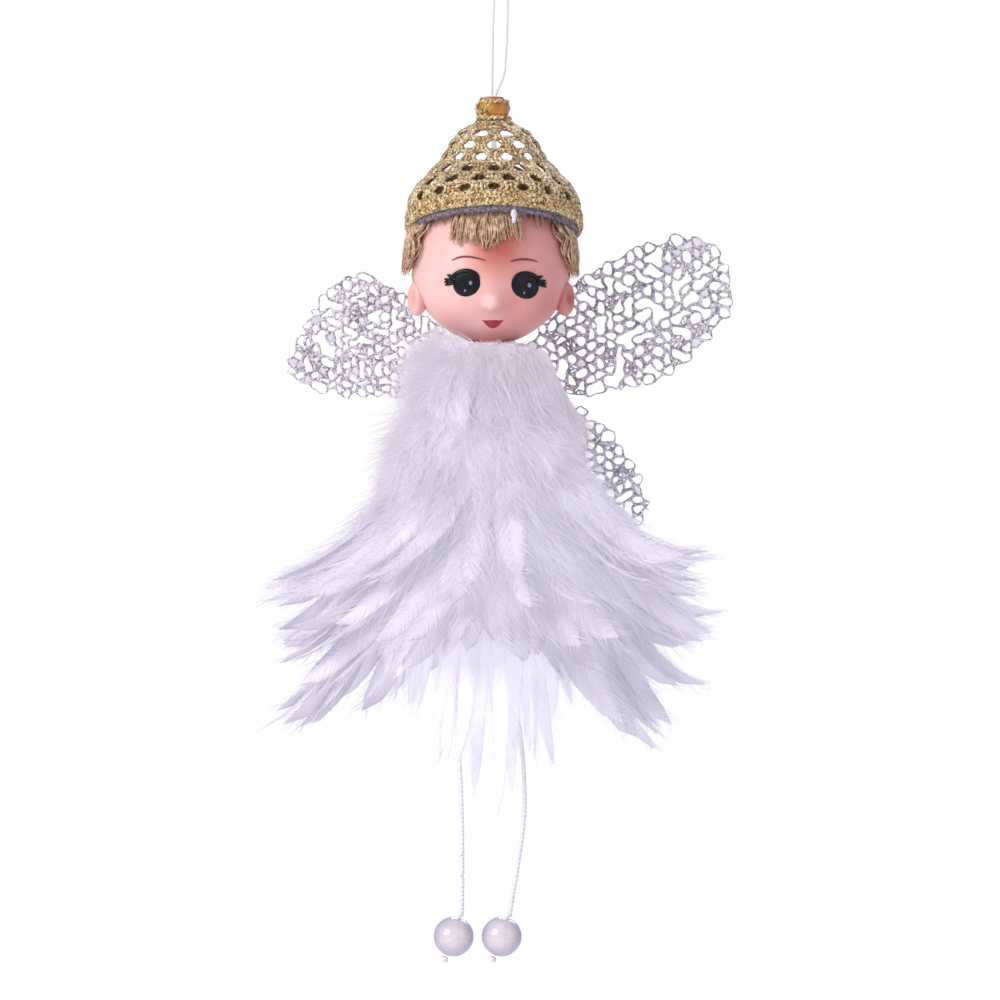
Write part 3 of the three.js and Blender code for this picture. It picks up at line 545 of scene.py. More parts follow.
# Net round the bead: the cap's last yarns, gathered over the bead's back and left and round its top.
# They are tied to the bead, and bend to the cap's tip where it swings.
BEAD_YARNS = 8
YARN_START = 118  # where the first one stands, and the next, in degrees
YARN_SPACING = 17
BEAD_RINGS = ((1.8, 0.55), (2.6, 1.05), (3.05, 4.3))  # radius, and distance below the bead's top, in mm
BEAD_YARN = 0.7 * mm
bead_yarns = []
for turn in range(BEAD_YARNS):
    angle = radians(YARN_START + YARN_SPACING * turn)
    reach = 1.0 if turn < 5 else 0.55
    yarn = []
    for step in range(7):
        radius = (2.3 + 1.25 * sin(pi * step / 6)) * mm
        height = BEAD_TOP - BEAD_HEIGHT * (1 - 0.97 * reach * step / 6)
        yarn.append((around(angle, radius, height), yarn_random.uniform(0.85, 1.15)))
    bead_yarns.append(yarn)
for radius, below in BEAD_RINGS:
    for twist in (0, pi):
        yarn = []
        for step in range(49):
            angle = step / 48 * 2 * pi
            wave = 9 * angle + twist
            height = BEAD_TOP - (below - 0.25 * sin(wave)) * mm
            yarn.append((around(angle, (radius + 0.2 * cos(wave)) * mm, height), 1.0))
        bead_yarns.append(yarn)
bead_net = show(strands(bead_yarns, BEAD_YARN), "bead_net", gold_yarn, None)
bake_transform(bead_net)

# Brim band: tight rows of the same yarn under a row of slanted stitches. Under the edge, a dark grey-lilac
# ring of yarn is painted shadow: the shade under the brim. Dried glue under the brim holds the cap on.
BAND_ROWS = [0.88, 0.93, 0.98]
SHADOW_RING_ROWS = [1.0, 1.03]
BAND_OUT = 0.1 * mm
BAND_YARN = 0.85 * mm
STITCH = 1.25 * mm
STITCH_YARN = 0.62 * mm
STITCH_ROWS = ((0.835, 0.93), (0.92, 1.0))  # top and foot, as shares of the cap's height
GLUE_DROPS = ((0, 0.75), (1.25, 0.55))  # how far down, and radius, in millimetres
gold_braid = tinsel("gold_braid", 0.35, "846741", "c3a26a", "e8d196", "fff7d6")
rows = [
    plaited_ring(share, BAND_OUT, ply=3, yarn=BAND_YARN, stitch=1.7 * mm, swing=0.34 * mm)
    for share in BAND_ROWS
]
stitches = []
for top, foot in STITCH_ROWS:
    count = round(2 * pi * cap_radius(top) / STITCH)
    for stitch in range(count):
        turn = (stitch + yarn_random.uniform(-0.2, 0.2)) / count * 2 * pi
        slant = yarn_random.choice((-0.035, 0.035))
        stitches.append([
            (on_cap(turn + slant * t, top + (foot - top) * t, (0.3 + 0.35 * sin(pi * t)) * mm), 1.0)
            for t in (0, 0.25, 0.5, 0.75, 1)
        ])
rows.append(strands(stitches, STITCH_YARN))
show(join(rows), "brim_braid", gold_braid, "head", ["cap_band"])
# Painted shadow: a dark grey-lilac ring just inside the brim's edge.
brim_shadow = Finish("brim_shadow_ring", Roughness=0.9).grain(6000, 0.1 * mm)
brim_shadow.tint(brim_shadow.noise(1500), (0.3, "544a50"), (0.55, "857880"), (0.75, "b3a7ba"))
shadow_ring_rows = [
    plaited_ring(share, out=-0.7 * mm, ply=2, yarn=0.95 * mm, stitch=1.6 * mm, swing=0.25 * mm)
    for share in SHADOW_RING_ROWS
]
show(join(shadow_ring_rows), "brim_shadow_ring", brim_shadow, "head")
glue = Finish("dried_glue", Roughness=0.2, Coat_Weight=0.5).mottle(900, "d9d2e6", "f6f3fb")
glue_bm = bmesh.new()
for lower, radius in GLUE_DROPS:
    drop = bmesh.ops.create_icosphere(glue_bm, subdivisions=3, radius=radius * mm)["verts"]
    place = on_cap(radians(-76.5), 1.08, -0.2 * mm) - Vector((0, 0, lower * mm))
    bmesh.ops.scale(glue_bm, vec=(0.85, 0.7, 1.25), verts=drop)
    bmesh.ops.translate(glue_bm, vec=place, verts=drop)
show(mesh_of(glue_bm), "glue_drops", glue, "head")

# Head: a hollow moulded vinyl doll's head with round cheeks, a small nose and ears, open at the neck.
# It snaps over the mushroom of the neck post, so that it can turn.
HEAD_MIDDLE = Vector((-0.6, 0, -59.5)) * mm
HEAD_HALF = 15.5 * mm
CROWN = 22.5 * mm
CHIN = 13.5 * mm
HEAD_WALL = 1.6 * mm
NECK_HOLE = 4.4 * mm
THREAD_HOLE = 1.1 * mm
EAR = Vector((2.3, 2.6, 3.5)) * mm  # half of its width, depth and height
EAR_PLACE = Vector((14.8, -2.2, -63.8)) * mm
EAR_TURN = radians(-30)
EYES = [Vector((-5.4, 0, -61.2)) * mm, Vector((6.2, 0, -61.6)) * mm]
MOUTH = Vector((-0.2, 0, -68.2)) * mm  # middle of its straight upper edge
FACE_RELIEF = [  # X, Z, spread in X and in Z, height, all in millimetres
    (-9.0, -66.2, 4.6, 4.0, 0.9), (9.6, -66.4, 4.6, 4.0, 0.9),
    (-0.3, -65.3, 1.6, 1.35, 1.05), (-0.1, -62, 1.2, 2.6, 0.4),
    (-5.4, -61.2, 3.2, 2.9, -0.5), (6.2, -61.6, 3.2, 2.9, -0.5),
    (-0.2, -69.0, 2.4, 1.1, 0.5), (-0.2, -70.8, 1.7, 0.6, -0.25), (-0.2, -71.8, 2.6, 1.6, 0.7),
]
# Skin spots: blush on both cheeks; painted shadow of the brim on the forehead; a warmer chin, made darker
# as painted shade under it; a painted highlight on the nose, where the strength is negative; and a little
# more red right of the nose.
BLUSH_AND_PAINTED_LIGHT = [  # X, Z, radius in millimetres, and strength
    (-9, -68, 7, 0.25), (10, -66, 7, 0.25), (0.5, -53.5, 9, 0.75), (-0.2, -72.5, 8, 0.55),
    (-0.9, -64.6, 2.4, -0.5), (3, -65, 4, 0.2),
]
# Rosy ears: the right one is redder than the left, as painted shade on the side away from the main lamp.
EAR_BLUSH_AND_SHADE = ((1, 0.55), (-1, 0.35))  # side, and strength


def jaw(up):
    """The share of the head's full width at a share of its height below the middle."""
    return 1 - 0.15 * max(0, -up) ** 1.5


def head_point(direction, lift=0.0):
    """The head's surface in a direction: an egg with a narrow jaw and the face's relief."""
    height = CROWN if direction.z > 0 else CHIN
    wide = HEAD_HALF * jaw(direction.z)
    place = HEAD_MIDDLE + Vector((direction.x * wide, direction.y * HEAD_HALF, direction.z * height))
    outward = Vector((direction.x / HEAD_HALF, direction.y / HEAD_HALF, direction.z / height)).normalized()
    relief = 0.0
    if direction.y < 0:
        for x, z, wide, high, tall in FACE_RELIEF:
            far = ((place.x / mm - x) / wide) ** 2 + ((place.z / mm - z) / high) ** 2
            relief += tall * mm * exp(-far) * min(1, -direction.y * 3)
    return place + outward * (relief + lift)


def on_face(x, z, lift=0.0):
    """The point of the face that is seen at X and Z from the front."""
    height = CROWN if z > HEAD_MIDDLE.z else CHIN
    up = (z - HEAD_MIDDLE.z) / height
    across = (x - HEAD_MIDDLE.x) / (HEAD_HALF * jaw(up))
    return head_point(Vector((across, -sqrt(max(1 - across * across - up * up, 0)), up)), lift)


skin = Finish(
    "vinyl_skin", Roughness=0.38, Subsurface_Weight=0.25, Subsurface_Scale=1.2 * mm, Coat_Weight=0.15,
    Coat_Roughness=0.25, Subsurface_Radius=(1.0, 0.35, 0.25),
)


def nearness(finish, place, radius):
    """How near the surface is to a place, from 0 at the radius to 1."""
    apart = finish.add("VectorMath", {0: finish.place, 1: place}, operation="DISTANCE").outputs["Value"]
    inputs = {"Value": apart, "From Min": radius, "From Max": 0.0}
    return finish.add("MapRange", inputs, interpolation_type="SMOOTHSTEP").outputs["Result"]


# Painted light and shade: the skin runs from a light peach on the face's left to a deep red on its right,
# away from the main lamp. The spots add blush and more painted light.
across_face = skin.add("SeparateXYZ", {"Vector": skin.place}).outputs["X"]
painted_shade_right = skin.add("MapRange", {
    "Value": across_face, "From Min": -13 * mm, "From Max": 9 * mm, "To Min": 0.04, "To Max": 0.42,
}, interpolation_type="SMOOTHSTEP").outputs["Result"]
tone_and_painted_light = skin.calc("ADD", painted_shade_right, skin.between(skin.noise(250, 2.0), -0.08, 0.08))
spots = [(on_face(x * mm, z * mm), radius * mm, strength) for x, z, radius, strength in BLUSH_AND_PAINTED_LIGHT]
for side, strength in EAR_BLUSH_AND_SHADE:
    spots.append((Vector((side * EAR_PLACE.x, EAR_PLACE.y, EAR_PLACE.z)), 5 * mm, strength))
for spot, radius, strength in spots:
    tone_and_painted_light = skin.calc("MULTIPLY_ADD", nearness(skin, spot, radius), strength, tone_and_painted_light)
skin.tint(tone_and_painted_light, (0.0, "f9cfc6"), (0.45, "e7a296"), (1.0, "bf6455"))
skin.grain(1800, 0.03 * mm, 0.5)


def thicken(piece, thickness, offset=0):
    """Give a sheet its thickness: on both sides, or inwards where the offset is -1."""
    wall = piece.modifiers.new("wall", "SOLIDIFY")
    wall.thickness = thickness
    wall.offset = offset


head_bm = bmesh.new()
bmesh.ops.create_uvsphere(head_bm, u_segments=96, v_segments=64, radius=1)
holes = []
for vert in head_bm.verts:
    vert.co = head_point(vert.co.normalized())
    hole = NECK_HOLE if vert.co.z < HEAD_MIDDLE.z else THREAD_HOLE
    if hypot(vert.co.x - HEAD_MIDDLE.x, vert.co.y) < hole:
        holes.append(vert)
bmesh.ops.delete(head_bm, geom=holes, context="VERTS")
doll_head = show(mesh_of(head_bm), "doll_head", skin, "head", ["head_shell"])
thicken(doll_head, HEAD_WALL, -1)

ear_bm = bmesh.new()
for side in (-1, 1):
    ear = bmesh.ops.create_uvsphere(ear_bm, u_segments=24, v_segments=16, radius=1)["verts"]
    for vert in ear:
        rim = hypot(vert.co.y, vert.co.z)
        vert.co.x -= 0.75 * exp(-(rim / 0.55) ** 2) if vert.co.x > 0 else 0
        place = Vector((vert.co.x * EAR.x, vert.co.y * EAR.y - vert.co.x * 0.6 * mm, vert.co.z * EAR.z))
        place.rotate(Matrix.Rotation(EAR_TURN, 3, "Z"))
        place += EAR_PLACE
        vert.co = Vector((place.x * side + HEAD_MIDDLE.x, place.y, place.z))
bmesh.ops.recalc_face_normals(ear_bm, faces=ear_bm.faces)
show(mesh_of(ear_bm), "doll_ears", skin, "head")

# Painted face: glossy black eyes, dark lashes, thin brown brows and small red lips, and on each eye two
# grey-blue glints that are painted highlights. The paint lies on the vinyl in slightly raised, glossy
# patches.
EYE_HALF = (2.75 * mm, 2.65 * mm)
EYE_DOME = 0.4 * mm
GLINTS = [(0.8, 0.0, 0.36), (-0.25, -1.45, 0.22)]  # place on the eye in X and Z, and size, in millimetres
GLINT_RISE = 0.16 * mm
LIP_HALF = 2.15 * mm
LIP_DROP = 1.4 * mm  # from the straight upper edge to the lower lip's point


def eye_lift(across, up):
    """How far an eye's dome stands off the face, at shares of its half width and height."""
    return EYE_DOME * sqrt(max(1 - across * across - up * up, 0)) - 0.05 * mm


def face_patch(bm, middle, half, raised, base=0.0):
    """A closed, domed patch that lies on the face, or on a base above it, for the paint and for the eyes'
    painted highlights.
    """
    ball = bmesh.ops.create_uvsphere(bm, u_segments=32, v_segments=16, radius=1)["verts"]
    for vert in ball:
        across, up, out = vert.co
        lift = base + (raised * out if out > 0 else 0.15 * mm * out) - 0.05 * mm
        vert.co = on_face(middle.x + half[0] * across, middle.z + half[1] * up, lift)


def painted(name, finish, build):
    """A piece of the painted face from a function that fills a bmesh."""
    bm = bmesh.new()
    build(bm)
    bmesh.ops.recalc_face_normals(bm, faces=bm.faces)
    return show(mesh_of(bm), name, finish, "head")


def lips(bm):
    """A full mouth: a straight upper edge, and a lower edge that comes to a soft point."""
    ball = bmesh.ops.create_uvsphere(bm, u_segments=32, v_segments=16, radius=1)["verts"]
    for vert in ball:
        across, up, out = vert.co
        edge = LIP_DROP * (1 - abs(across) ** 1.9)
        lift = 0.35 * mm * out if out > 0 else 0.2 * mm * out
        vert.co = on_face(MOUTH.x + LIP_HALF * across, MOUTH.z - edge * (0.5 - 0.5 * up), lift)


gloss_black = Finish(
    "eye_black", Roughness=0.3, Coat_Weight=0.15, Coat_Roughness=0.1, Specular_IOR_Level=0.2,
)
gloss_black.tint(gloss_black.noise(420, 2.0), (0.35, "0a090b"), (0.75, "161d28"))
glint_grey = Finish("eye_glint", Roughness=0.3).mottle(3000, "5d6a80", "8d9ab0")
lip_red = Finish("lip_red", Roughness=0.4, Coat_Weight=0.1).mottle(800, "96182a", "b02c38")
brow_brown = Finish("brow_brown", Roughness=0.5).mottle(2500, "5f2a28", "8a4844")

painted("eyes", gloss_black, lambda bm: [face_patch(bm, eye, EYE_HALF, EYE_DOME) for eye in EYES])
# Painted highlights on the eyes.
painted("eye_glints", glint_grey, lambda bm: [
    face_patch(
        bm, eye + Vector((x, 0, z)) * mm, (size * mm, size * 1.2 * mm), GLINT_RISE,
        eye_lift(x * mm / EYE_HALF[0], z * mm / EYE_HALF[1]),
    )
    for eye in EYES for x, z, size in GLINTS
])
painted("lips", lip_red, lips)


def brush_stroke(points):
    """A tapering stroke of paint over the face through (X, Z) points in millimetres."""
    line = smooth_route([(x * mm, 0, z * mm) for x, z in points], 6)
    return [
        (on_face(p.x, p.z, 0.1 * mm), 0.25 + 0.75 * sin(pi * (0.08 + 0.84 * i / (len(line) - 1))))
        for i, p in enumerate(line)
    ]


BROWS = [
    [(-8.3, -56.7), (-6.8, -56.1), (-5.2, -56.0), (-3.4, -56.3), (-1.6, -56.8)],
    [(3.2, -57.0), (4.6, -56.6), (6.0, -56.5), (7.4, -56.6), (8.6, -56.9)],
]
LASH_LINES = [
    [(-9.1, -61.2), (-8.5, -60.2), (-7.2, -59.2), (-5.4, -58.8), (-3.7, -59.3), (-2.9, -60.2)],
    [(3.7, -60.8), (4.6, -59.8), (6.2, -59.3), (8.1, -59.7), (9.5, -61.3)],
]
LASHES = [
    [(-9.7, -60.3), (-8.9, -60.5), (-7.8, -60.8)], [(-9.5, -61.5), (-8.8, -61.3), (-7.7, -61.2)],
    [(-9.2, -59.5), (-8.5, -59.8), (-7.6, -60.2)], [(-9.7, -60.9), (-8.8, -60.9), (-7.7, -61.0)],
    [(10.2, -61.8), (9.5, -61.5), (8.5, -61.4)], [(10.2, -60.6), (9.4, -60.7), (8.5, -61.0)],
    [(9.6, -59.7), (8.9, -60.0), (8.1, -60.3)], [(10.3, -61.2), (9.4, -61.1), (8.4, -61.2)],
]
for name, lines, finish, thickness, sides in (
    ("brows", BROWS, brow_brown, 0.42 * mm, 6), ("lashes", LASHES, gloss_black, 0.7 * mm, 6),
    ("lash_lines", LASH_LINES, gloss_black, 1.0 * mm, 8),
):
    show(strands([brush_stroke(points) for points in lines], thickness, sides), name, finish, "head")

# Hair: combed tan fibre glued round the head under the brim, a fringe over the forehead, a tuft at
# each ear and a fuller lock at the nape.
HAIR = 0.42 * mm
hair_random = random.Random(5)
fibre = Finish("tan_hair", Roughness=0.45, Anisotropic=0.5, Sheen_Weight=0.2).grain(7000, 0.05 * mm)
fibre.tint(fibre.noise(900, 2.0), (0.3, "9a7653"), (0.5, "c9a783"), (0.7, "ecd6b6"))
# The crown's hair is a darker brown than the tan fibre: painted shade under the cap, which shows through
# its cells.
shade = Finish("crown_hair_painted_shade", Roughness=0.6).mottle(900, "5d4a2c", "94774f", 2.0)
shade.grain(7000, 0.05 * mm)


def hair_lock(count, root, tip, lift, bow, tufts, flip=0.0, sag=0.0, curl=0.06):
    """Strands down the head from a root to a tip, each a range of angles and one of heights."""
    paths = []
    for _ in range(count):
        share = hair_random.random()
        tuft = (int(share * tufts) + 0.5) / tufts
        gathered = share + (tuft - share) * 0.6
        start = (root[0][0] + (root[0][1] - root[0][0]) * share, hair_random.uniform(*root[1]))
        end = (
            tip[0][0] + (tip[0][1] - tip[0][0]) * gathered + hair_random.uniform(-0.04, 0.04),
            hair_random.uniform(*tip[1]) - sag * sin(pi * share ** 0.85) + 0.7 * sin(tuft * 71),
        )
        depth = hair_random.uniform(*lift)
        wave = hair_random.uniform(-1, 1) * curl
        path = []
        for step in range(8):
            t = step / 7
            angle = start[0] + (end[0] - start[0]) * t + wave * sin(2 * pi * t)
            z = (start[1] + (end[1] - start[1]) * t) * mm
            height = CROWN if z > HEAD_MIDDLE.z else CHIN
            up = max(-0.99, min(0.99, (z - HEAD_MIDDLE.z) / height))
            flat = sqrt(1 - up * up)
            out = (depth + bow * sin(pi * min(t * 1.1, 1)) + flip * t ** 3) * mm
            place = head_point(Vector((flat * sin(angle), -flat * cos(angle), up)), out)
            path.append((place, 1.0 if t < 0.6 else 1.0 - 1.9 * (t - 0.6)))
        paths.append(path)
    return strands(paths, HAIR)


ALL_ROUND = (-pi, pi)
LEFT_FALL = {"flip": 0.9, "curl": 0.2}
RIGHT_FALL = {"flip": 0.5, "curl": 0.2}
LOCKS = [  # piece, finish, nodes, strands, root, tip, lift and bow in millimetres, tufts, and its fall
    ("crown_strands", shade, [], 520,
     (ALL_ROUND, (-37.8, -39)), (ALL_ROUND, (-46, -48.5)), (0.1, 0.7), 0.3, 40, {}),
    ("fringe_strands", fibre, ["hair_fringe"], 230,
     ((-0.5, 0.36), (-42.5, -44)), ((-0.6, 0.44), (-50.2, -52.2)), (0.1, 1.1), 0.4, 9, {"sag": 2.3}),
    ("hairline_strands", fibre, [], 150,
     ((-1.3, 1.3), (-42, -45)), ((-1.35, 1.35), (-47.2, -49.8)), (0.1, 0.6), 0.2, 20, {}),
    ("left_tuft_strands", fibre, ["hair_left"], 240,
     ((-1.9, -1.12), (-46, -49)), ((-1.95, -1.22), (-55, -58.6)), (0.1, 1.7), 0.7, 5, LEFT_FALL),
    ("right_tuft_strands", fibre, ["hair_right"], 240,
     ((1.12, 1.9), (-46, -49)), ((1.22, 1.95), (-55.6, -59.2)), (0.1, 1.7), 0.7, 5, RIGHT_FALL),
    ("nape_strands", fibre, ["hair_back"], 460,
     ((1.9, 4.38), (-43.5, -50)), ((2.05, 4.23), (-62.5, -66.8)), (0.2, 1.9), 0.4, 16, {}),
]
for name, finish, nodes, count, root, tip, lift, bow, tufts, fall in LOCKS:
    show(hair_lock(count, root, tip, lift, bow, tufts, **fall), name, finish, "head", nodes)

# Neck post, body core and base disc: turned plastic, carved foam and cut card that the feather tapes
# cover. They keep their own solid shapes.
foam = Finish("core_foam", Roughness=0.9)
foam.tint(foam.flakes(900), (0.1, "ebe7ee"), (0.9, "f9f7fb"))
foam.bump(foam.flakes(900), 0.2 * mm)
card = Finish("base_card", Roughness=0.85).mottle(2400, "e8e4e0", "f6f3ef")
dress_node("neck_post", Finish("neck_plastic", Roughness=0.5).mottle(400, "d8d1dc", "e9e4ed"))
dress_node("body_core", foam)
dress_node("base_disc", card.grain(4000, 0.05 * mm))

# Feather collar and bodice: white down feathers sewn by their quills to tapes, which are wound round the
# core and glued. Their barbs are loose and wavy, and stand out as fluff.
CORE_TOP = -76.22
CORE_HEIGHT = 46
CORE_RADII = (7, 14)  # at the core's top and foot, in millimetres as all of the fringes' sizes
TAPE_HEIGHT = 3
TAPE_OUT = 1.0
CHIN_LINE = -72.2 * mm  # nothing stands up past it, over the face, and the shoulders slope from it
SHOULDER = 11.5 * mm
SLOPE = 0.85  # fall of the shoulders by distance
STEEPER = 1.05  # how much steeper the right shoulder is
SLIMMER = 2.5 * mm  # how much slimmer the right shoulder is
SHOULDER_FALL = 16 * mm
JAW_RISE = 4.8 * mm  # how much higher the down may stand beside the jaw than under the chin
LAID = 1.6 * mm  # depth in which upright barbs are laid over
SCATTER = 4 * mm  # how far below it a barb may be laid
PARTING = radians(-94)  # where the feathers part at the front, as an angle round the dress
FRINGES = {  # seat below the core's top, reach, drop, and the two handles of the feathers' curve
    "feather_collar": (0, 9.4, 9, (5, 4.5), (10.5, 1)),
    "feather_bodice": (8.5, 14, 12, (9, 0), (13, -5)),
    "upper_skirt": (18.5, 33, 25, (10.5, -3), (13, -19)),
    "middle_skirt": (28, 33, 26, (14, -1), (16, -21)),
    "lower_skirt": (35.5, 32, 34, (11, -2), (13, -24)),
    "under_skirt": (41.5, 9.5, 44, (4, -10), (7, -28)),
}
DOWN_SIZES = {"feather_collar": (0.1, 1.6), "feather_bodice": (0.5, 1.8)}  # share of the fringe's drop
BLADE = 0.07 * mm  # thickness
CUP = 0.2  # how much a blade is cupped, as a share of its half width
BARB = 0.17 * mm
QUILL = 0.3 * mm
WISP = 0.15 * mm
WISP_LENGTH = 8 * mm
STRAY = 0.45  # how far a wisp strays from its shaft's way
plume_random = random.Random(23)
vary = plume_random.uniform


def shaft(node, azimuth, sweep=0.0, reach=1.0, drop=1.0, turn_up=0.0, lower=0.0, length=1.0):
    """A feather's shaft from the tape to its tip, drifting round the dress by its sweep."""
    seat, out, fall, lead, curl = FRINGES[node]
    share = (seat + lower + TAPE_HEIGHT) / CORE_HEIGHT
    start = CORE_RADII[0] + (CORE_RADII[1] - CORE_RADII[0]) * share + TAPE_OUT
    top = CORE_TOP - seat - lower - TAPE_HEIGHT / 2
    line = []
    for step in range(13):
        t = step / 12 * length
        first, second, third = 3 * t * (1 - t) ** 2, 3 * t * t * (1 - t), t ** 3
        radius = start + (first * lead[0] + second * curl[0] + third * out) * reach
        height = top + (first * lead[1] + second * curl[1] - third * fall) * drop + turn_up * t ** 4
        angle = azimuth + sweep * t ** 1.3
        line.append(around(angle, radius, height) * mm)
    return line


def along_shaft(line, share, twist=0.0):
    """The place at a share of a shaft, and its ways ahead, across and outwards."""
    whole = min(int(share * (len(line) - 1)), len(line) - 2)
    part = share * (len(line) - 1) - whole
    place = line[whole].lerp(line[whole + 1], part)
    ahead = (line[whole + 1] - line[whole]).normalized()
    round_way = Vector((-place.y, place.x, 0)).normalized()
    across = (round_way - ahead * round_way.dot(ahead)).normalized()
    across = Matrix.Rotation(twist * share, 3, ahead) @ across
    return place, ahead, across, ahead.cross(across)


def blade(share):
    """A feather's width along its shaft, as a share of its full width."""
    return min(1, 0.25 + 2.2 * share) * sqrt(max(0, 1 - share ** 3.2))


def vane(bm, line, width, twist):
    """A feather's blade: a grid along the shaft, cupped to the body, with an uneven edge."""
    grid = bmesh.ops.create_grid(bm, x_segments=4, y_segments=len(line) - 1, size=1, calc_uvs=True)["verts"]
    for vert in grid:
        side, share = vert.co.x, (vert.co.y + 1) / 2
        place, _, across, outward = along_shaft(line, share, twist)
        half = width / 2 * blade(share) * (vary(0.88, 1.06) if abs(side) > 0.9 else 1)
        vert.co = place + across * side * half - outward * CUP * half * side * side


def fine_strand(place, way, bend, wave, beats, reach, steps, taper):
    """A strand that sets off one way from a place, bends, waves and tapers."""
    path = []
    for step in range(steps + 1):
        t = step / steps
        path.append((place + (way * t + bend * t * t + wave * sin(beats * t)) * reach, 1 - taper * t))
    return path


def barbs(line, width, count, downy, twist):
    """Fine barbs on both sides of a shaft, leaning to its tip, looser near the quill."""
    paths = []
    for number in range(count):
        share = 0.04 + 0.95 * (number + plume_random.random()) / count
        place, ahead, across, outward = along_shaft(line, share, twist)
        loose = downy + 0.7 * (1 - share) ** 2
        for side in (-1, 1):
            reach = (width / 2 * blade(share) * (1 + 0.5 * loose) + 0.6 * mm) * vary(0.7, 1.2)
            rise = outward * vary(-0.1, 0.5) * loose
            wave = outward * vary(-0.25, 0.25) * loose
            way = across * side + ahead * 0.85
            bend = ahead * 0.6 - across * side * 0.18 + rise
            paths.append(fine_strand(place, way, bend, wave, 5, reach, steps=3, taper=0.7))
    return paths


def fluff(lines, count, upto):
    """Loose, wavy wisps of down, rooted anywhere on these shafts up to a share of them."""
    paths = []
    for _ in range(count):
        line = plume_random.choice(lines)
        place, ahead, across, outward = along_shaft(line, vary(0.1, upto))
        aside = plume_random.gauss(0, STRAY)
        way = (ahead + across * aside + outward * vary(0, STRAY)).normalized()
        reach = WISP_LENGTH * vary(0.6, 1.3)
        place = place + across * vary(-2, 2) * mm + outward * vary(0, 1.2) * mm
        bend = across * vary(-0.2, 0.2) + outward * vary(-0.3, 0.1)
        wave = across * vary(-0.05, 0.05)
        paths.append(fine_strand(place, way, bend, wave, 6, reach, steps=4, taper=0.75))
    return paths


def plumage(name, dark, light, painted_glow):
    """White feather: lilac shading, fine lines slanting from the shaft, and a faint even glow that is
    painted light.
    """
    finish = Finish(name, Roughness=0.62, Sheen_Weight=0.3, Emission_Strength=painted_glow)
    finish.shader.inputs["Emission Color"].default_value = colour("e9e6ee")
    parts = finish.add("SeparateXYZ", {"Vector": finish.coordinates.outputs["UV"]}).outputs
    aside = finish.calc("ABSOLUTE", finish.calc("SUBTRACT", parts["X"], 0.5))
    slant = finish.calc("MULTIPLY_ADD", aside, 0.5, parts["Y"])
    inputs = {"W": slant, "Scale": 150.0, "Detail": 2.0}
    lines = finish.add("TexNoise", inputs, noise_dimensions="1D").outputs["Fac"]
    tone = finish.calc("MULTIPLY_ADD", lines, 0.12, finish.noise(90, 2.0))
    # Darker towards the tip: painted shade.
    tone = finish.calc("MULTIPLY_ADD", finish.calc("POWER", parts["Y"], 3.0), -0.2, tone)
    finish.tint(tone, (0.2, dark), (0.75, light))
    finish.bump(lines, 0.1 * mm, 0.18)
    return finish


def under_chin(place, lower=0.0):
    """A place on a feather, laid down where it would pass the chin or the shoulders' slope."""
    out = hypot(place.x, place.y)
    right = max(0, place.x / out)
    beside = JAW_RISE * min(1, (place.x / SHOULDER) ** 2) * (1 - right)
    fall = (SLOPE + STEEPER * right) * max(0, out - SHOULDER + SLIMMER * right)
    limit = CHIN_LINE + beside - lower - min(fall, SHOULDER_FALL)
    over = place.z - limit + LAID
    if over <= 0:
        return place
    return Vector((place.x, place.y, limit - LAID * exp(-over / LAID)))


def laid_down(paths):
    """Barbs that keep below the chin, each by its own distance."""
    made = []
    for path in paths:
        lower = vary(0, SCATTER)
        made.append([(under_chin(place, lower), share) for place, share in path])
    return made


def feather_ring(node, satin, finish, lines, width, count, downy, wisps=0, upto=0.9):
    """A fringe of feathers along these shafts: blades, barbs, quills and wisps of down."""
    bm = bmesh.new()
    bm.loops.layers.uv.verify()
    fine = []
    quills = []
    for line in lines:
        full = width * vary(0.8, 1.15)
        twist = vary(-0.9, 0.9)
        vane(bm, line, full * (0.95 - 0.5 * downy), twist)
        fine += barbs(line, full, count, downy, twist)
        quills.append([(place, 1.1 - 0.9 * i / len(line)) for i, place in enumerate(line)])
    thicken(show(mesh_of(bm), node + "_vanes", satin, "torso", [node]), BLADE)
    fine = laid_down(fine)
    parts = [
        ("_left_barbs", fine[::2], BARB), ("_right_barbs", fine[1::2], BARB), ("_quills", quills, QUILL),
    ]
    if wisps:
        parts.append(("_wisps", laid_down(fluff(lines, wisps, upto)), WISP))
    for part, paths, thickness in parts:
        show(strands(paths, thickness, sides=4), node + part, finish, "torso", [node])


def spaced(count):
    """Angles round the dress, evenly spaced with some scatter."""
    return [(i + vary(-0.3, 0.3)) / count * 2 * pi for i in range(count)]


def from_parting(angle):
    """How far an angle is from the parting at the front, from -pi to pi."""
    return (angle - PARTING + pi) % (2 * pi) - pi


def down_line(node, angle):
    """One down feather: a long one hangs further out, and those on the right are slimmer."""
    size = vary(*DOWN_SIZES[node])
    lower = vary(-1, 6)
    reach = (0.5 + 0.15 * size) * (0.88 - 0.28 * cos(angle))
    line = shaft(node, angle, vary(-0.3, 0.3), reach, size, lower=lower)
    return [under_chin(place) for place in line]


def ruff_line(angle):
    """A short down feather of the collar that stands up round the neck, under the chin."""
    rise = vary(-0.5, -0.12)
    lower = vary(-3.2, -1)
    line = shaft("feather_collar", angle, 0, vary(0.15, 0.5), rise, lower=lower)
    below = (0.2 + 1.8 * abs(sin(7 * angle))) * mm
    return [under_chin(place, below) for place in line]


down = plumage("white_down", "d0c8d4", "ede8f0", 0.19)
for node, count, width in (("feather_collar", 90, 7 * mm), ("feather_bodice", 110, 8 * mm)):
    lines = [down_line(node, angle) for angle in spaced(count)]
    if node == "feather_collar":
        lines += [ruff_line(angle) for angle in spaced(64)]
    feather_ring(node, down, down, lines, width, count=24, downy=0.5, wisps=2400)

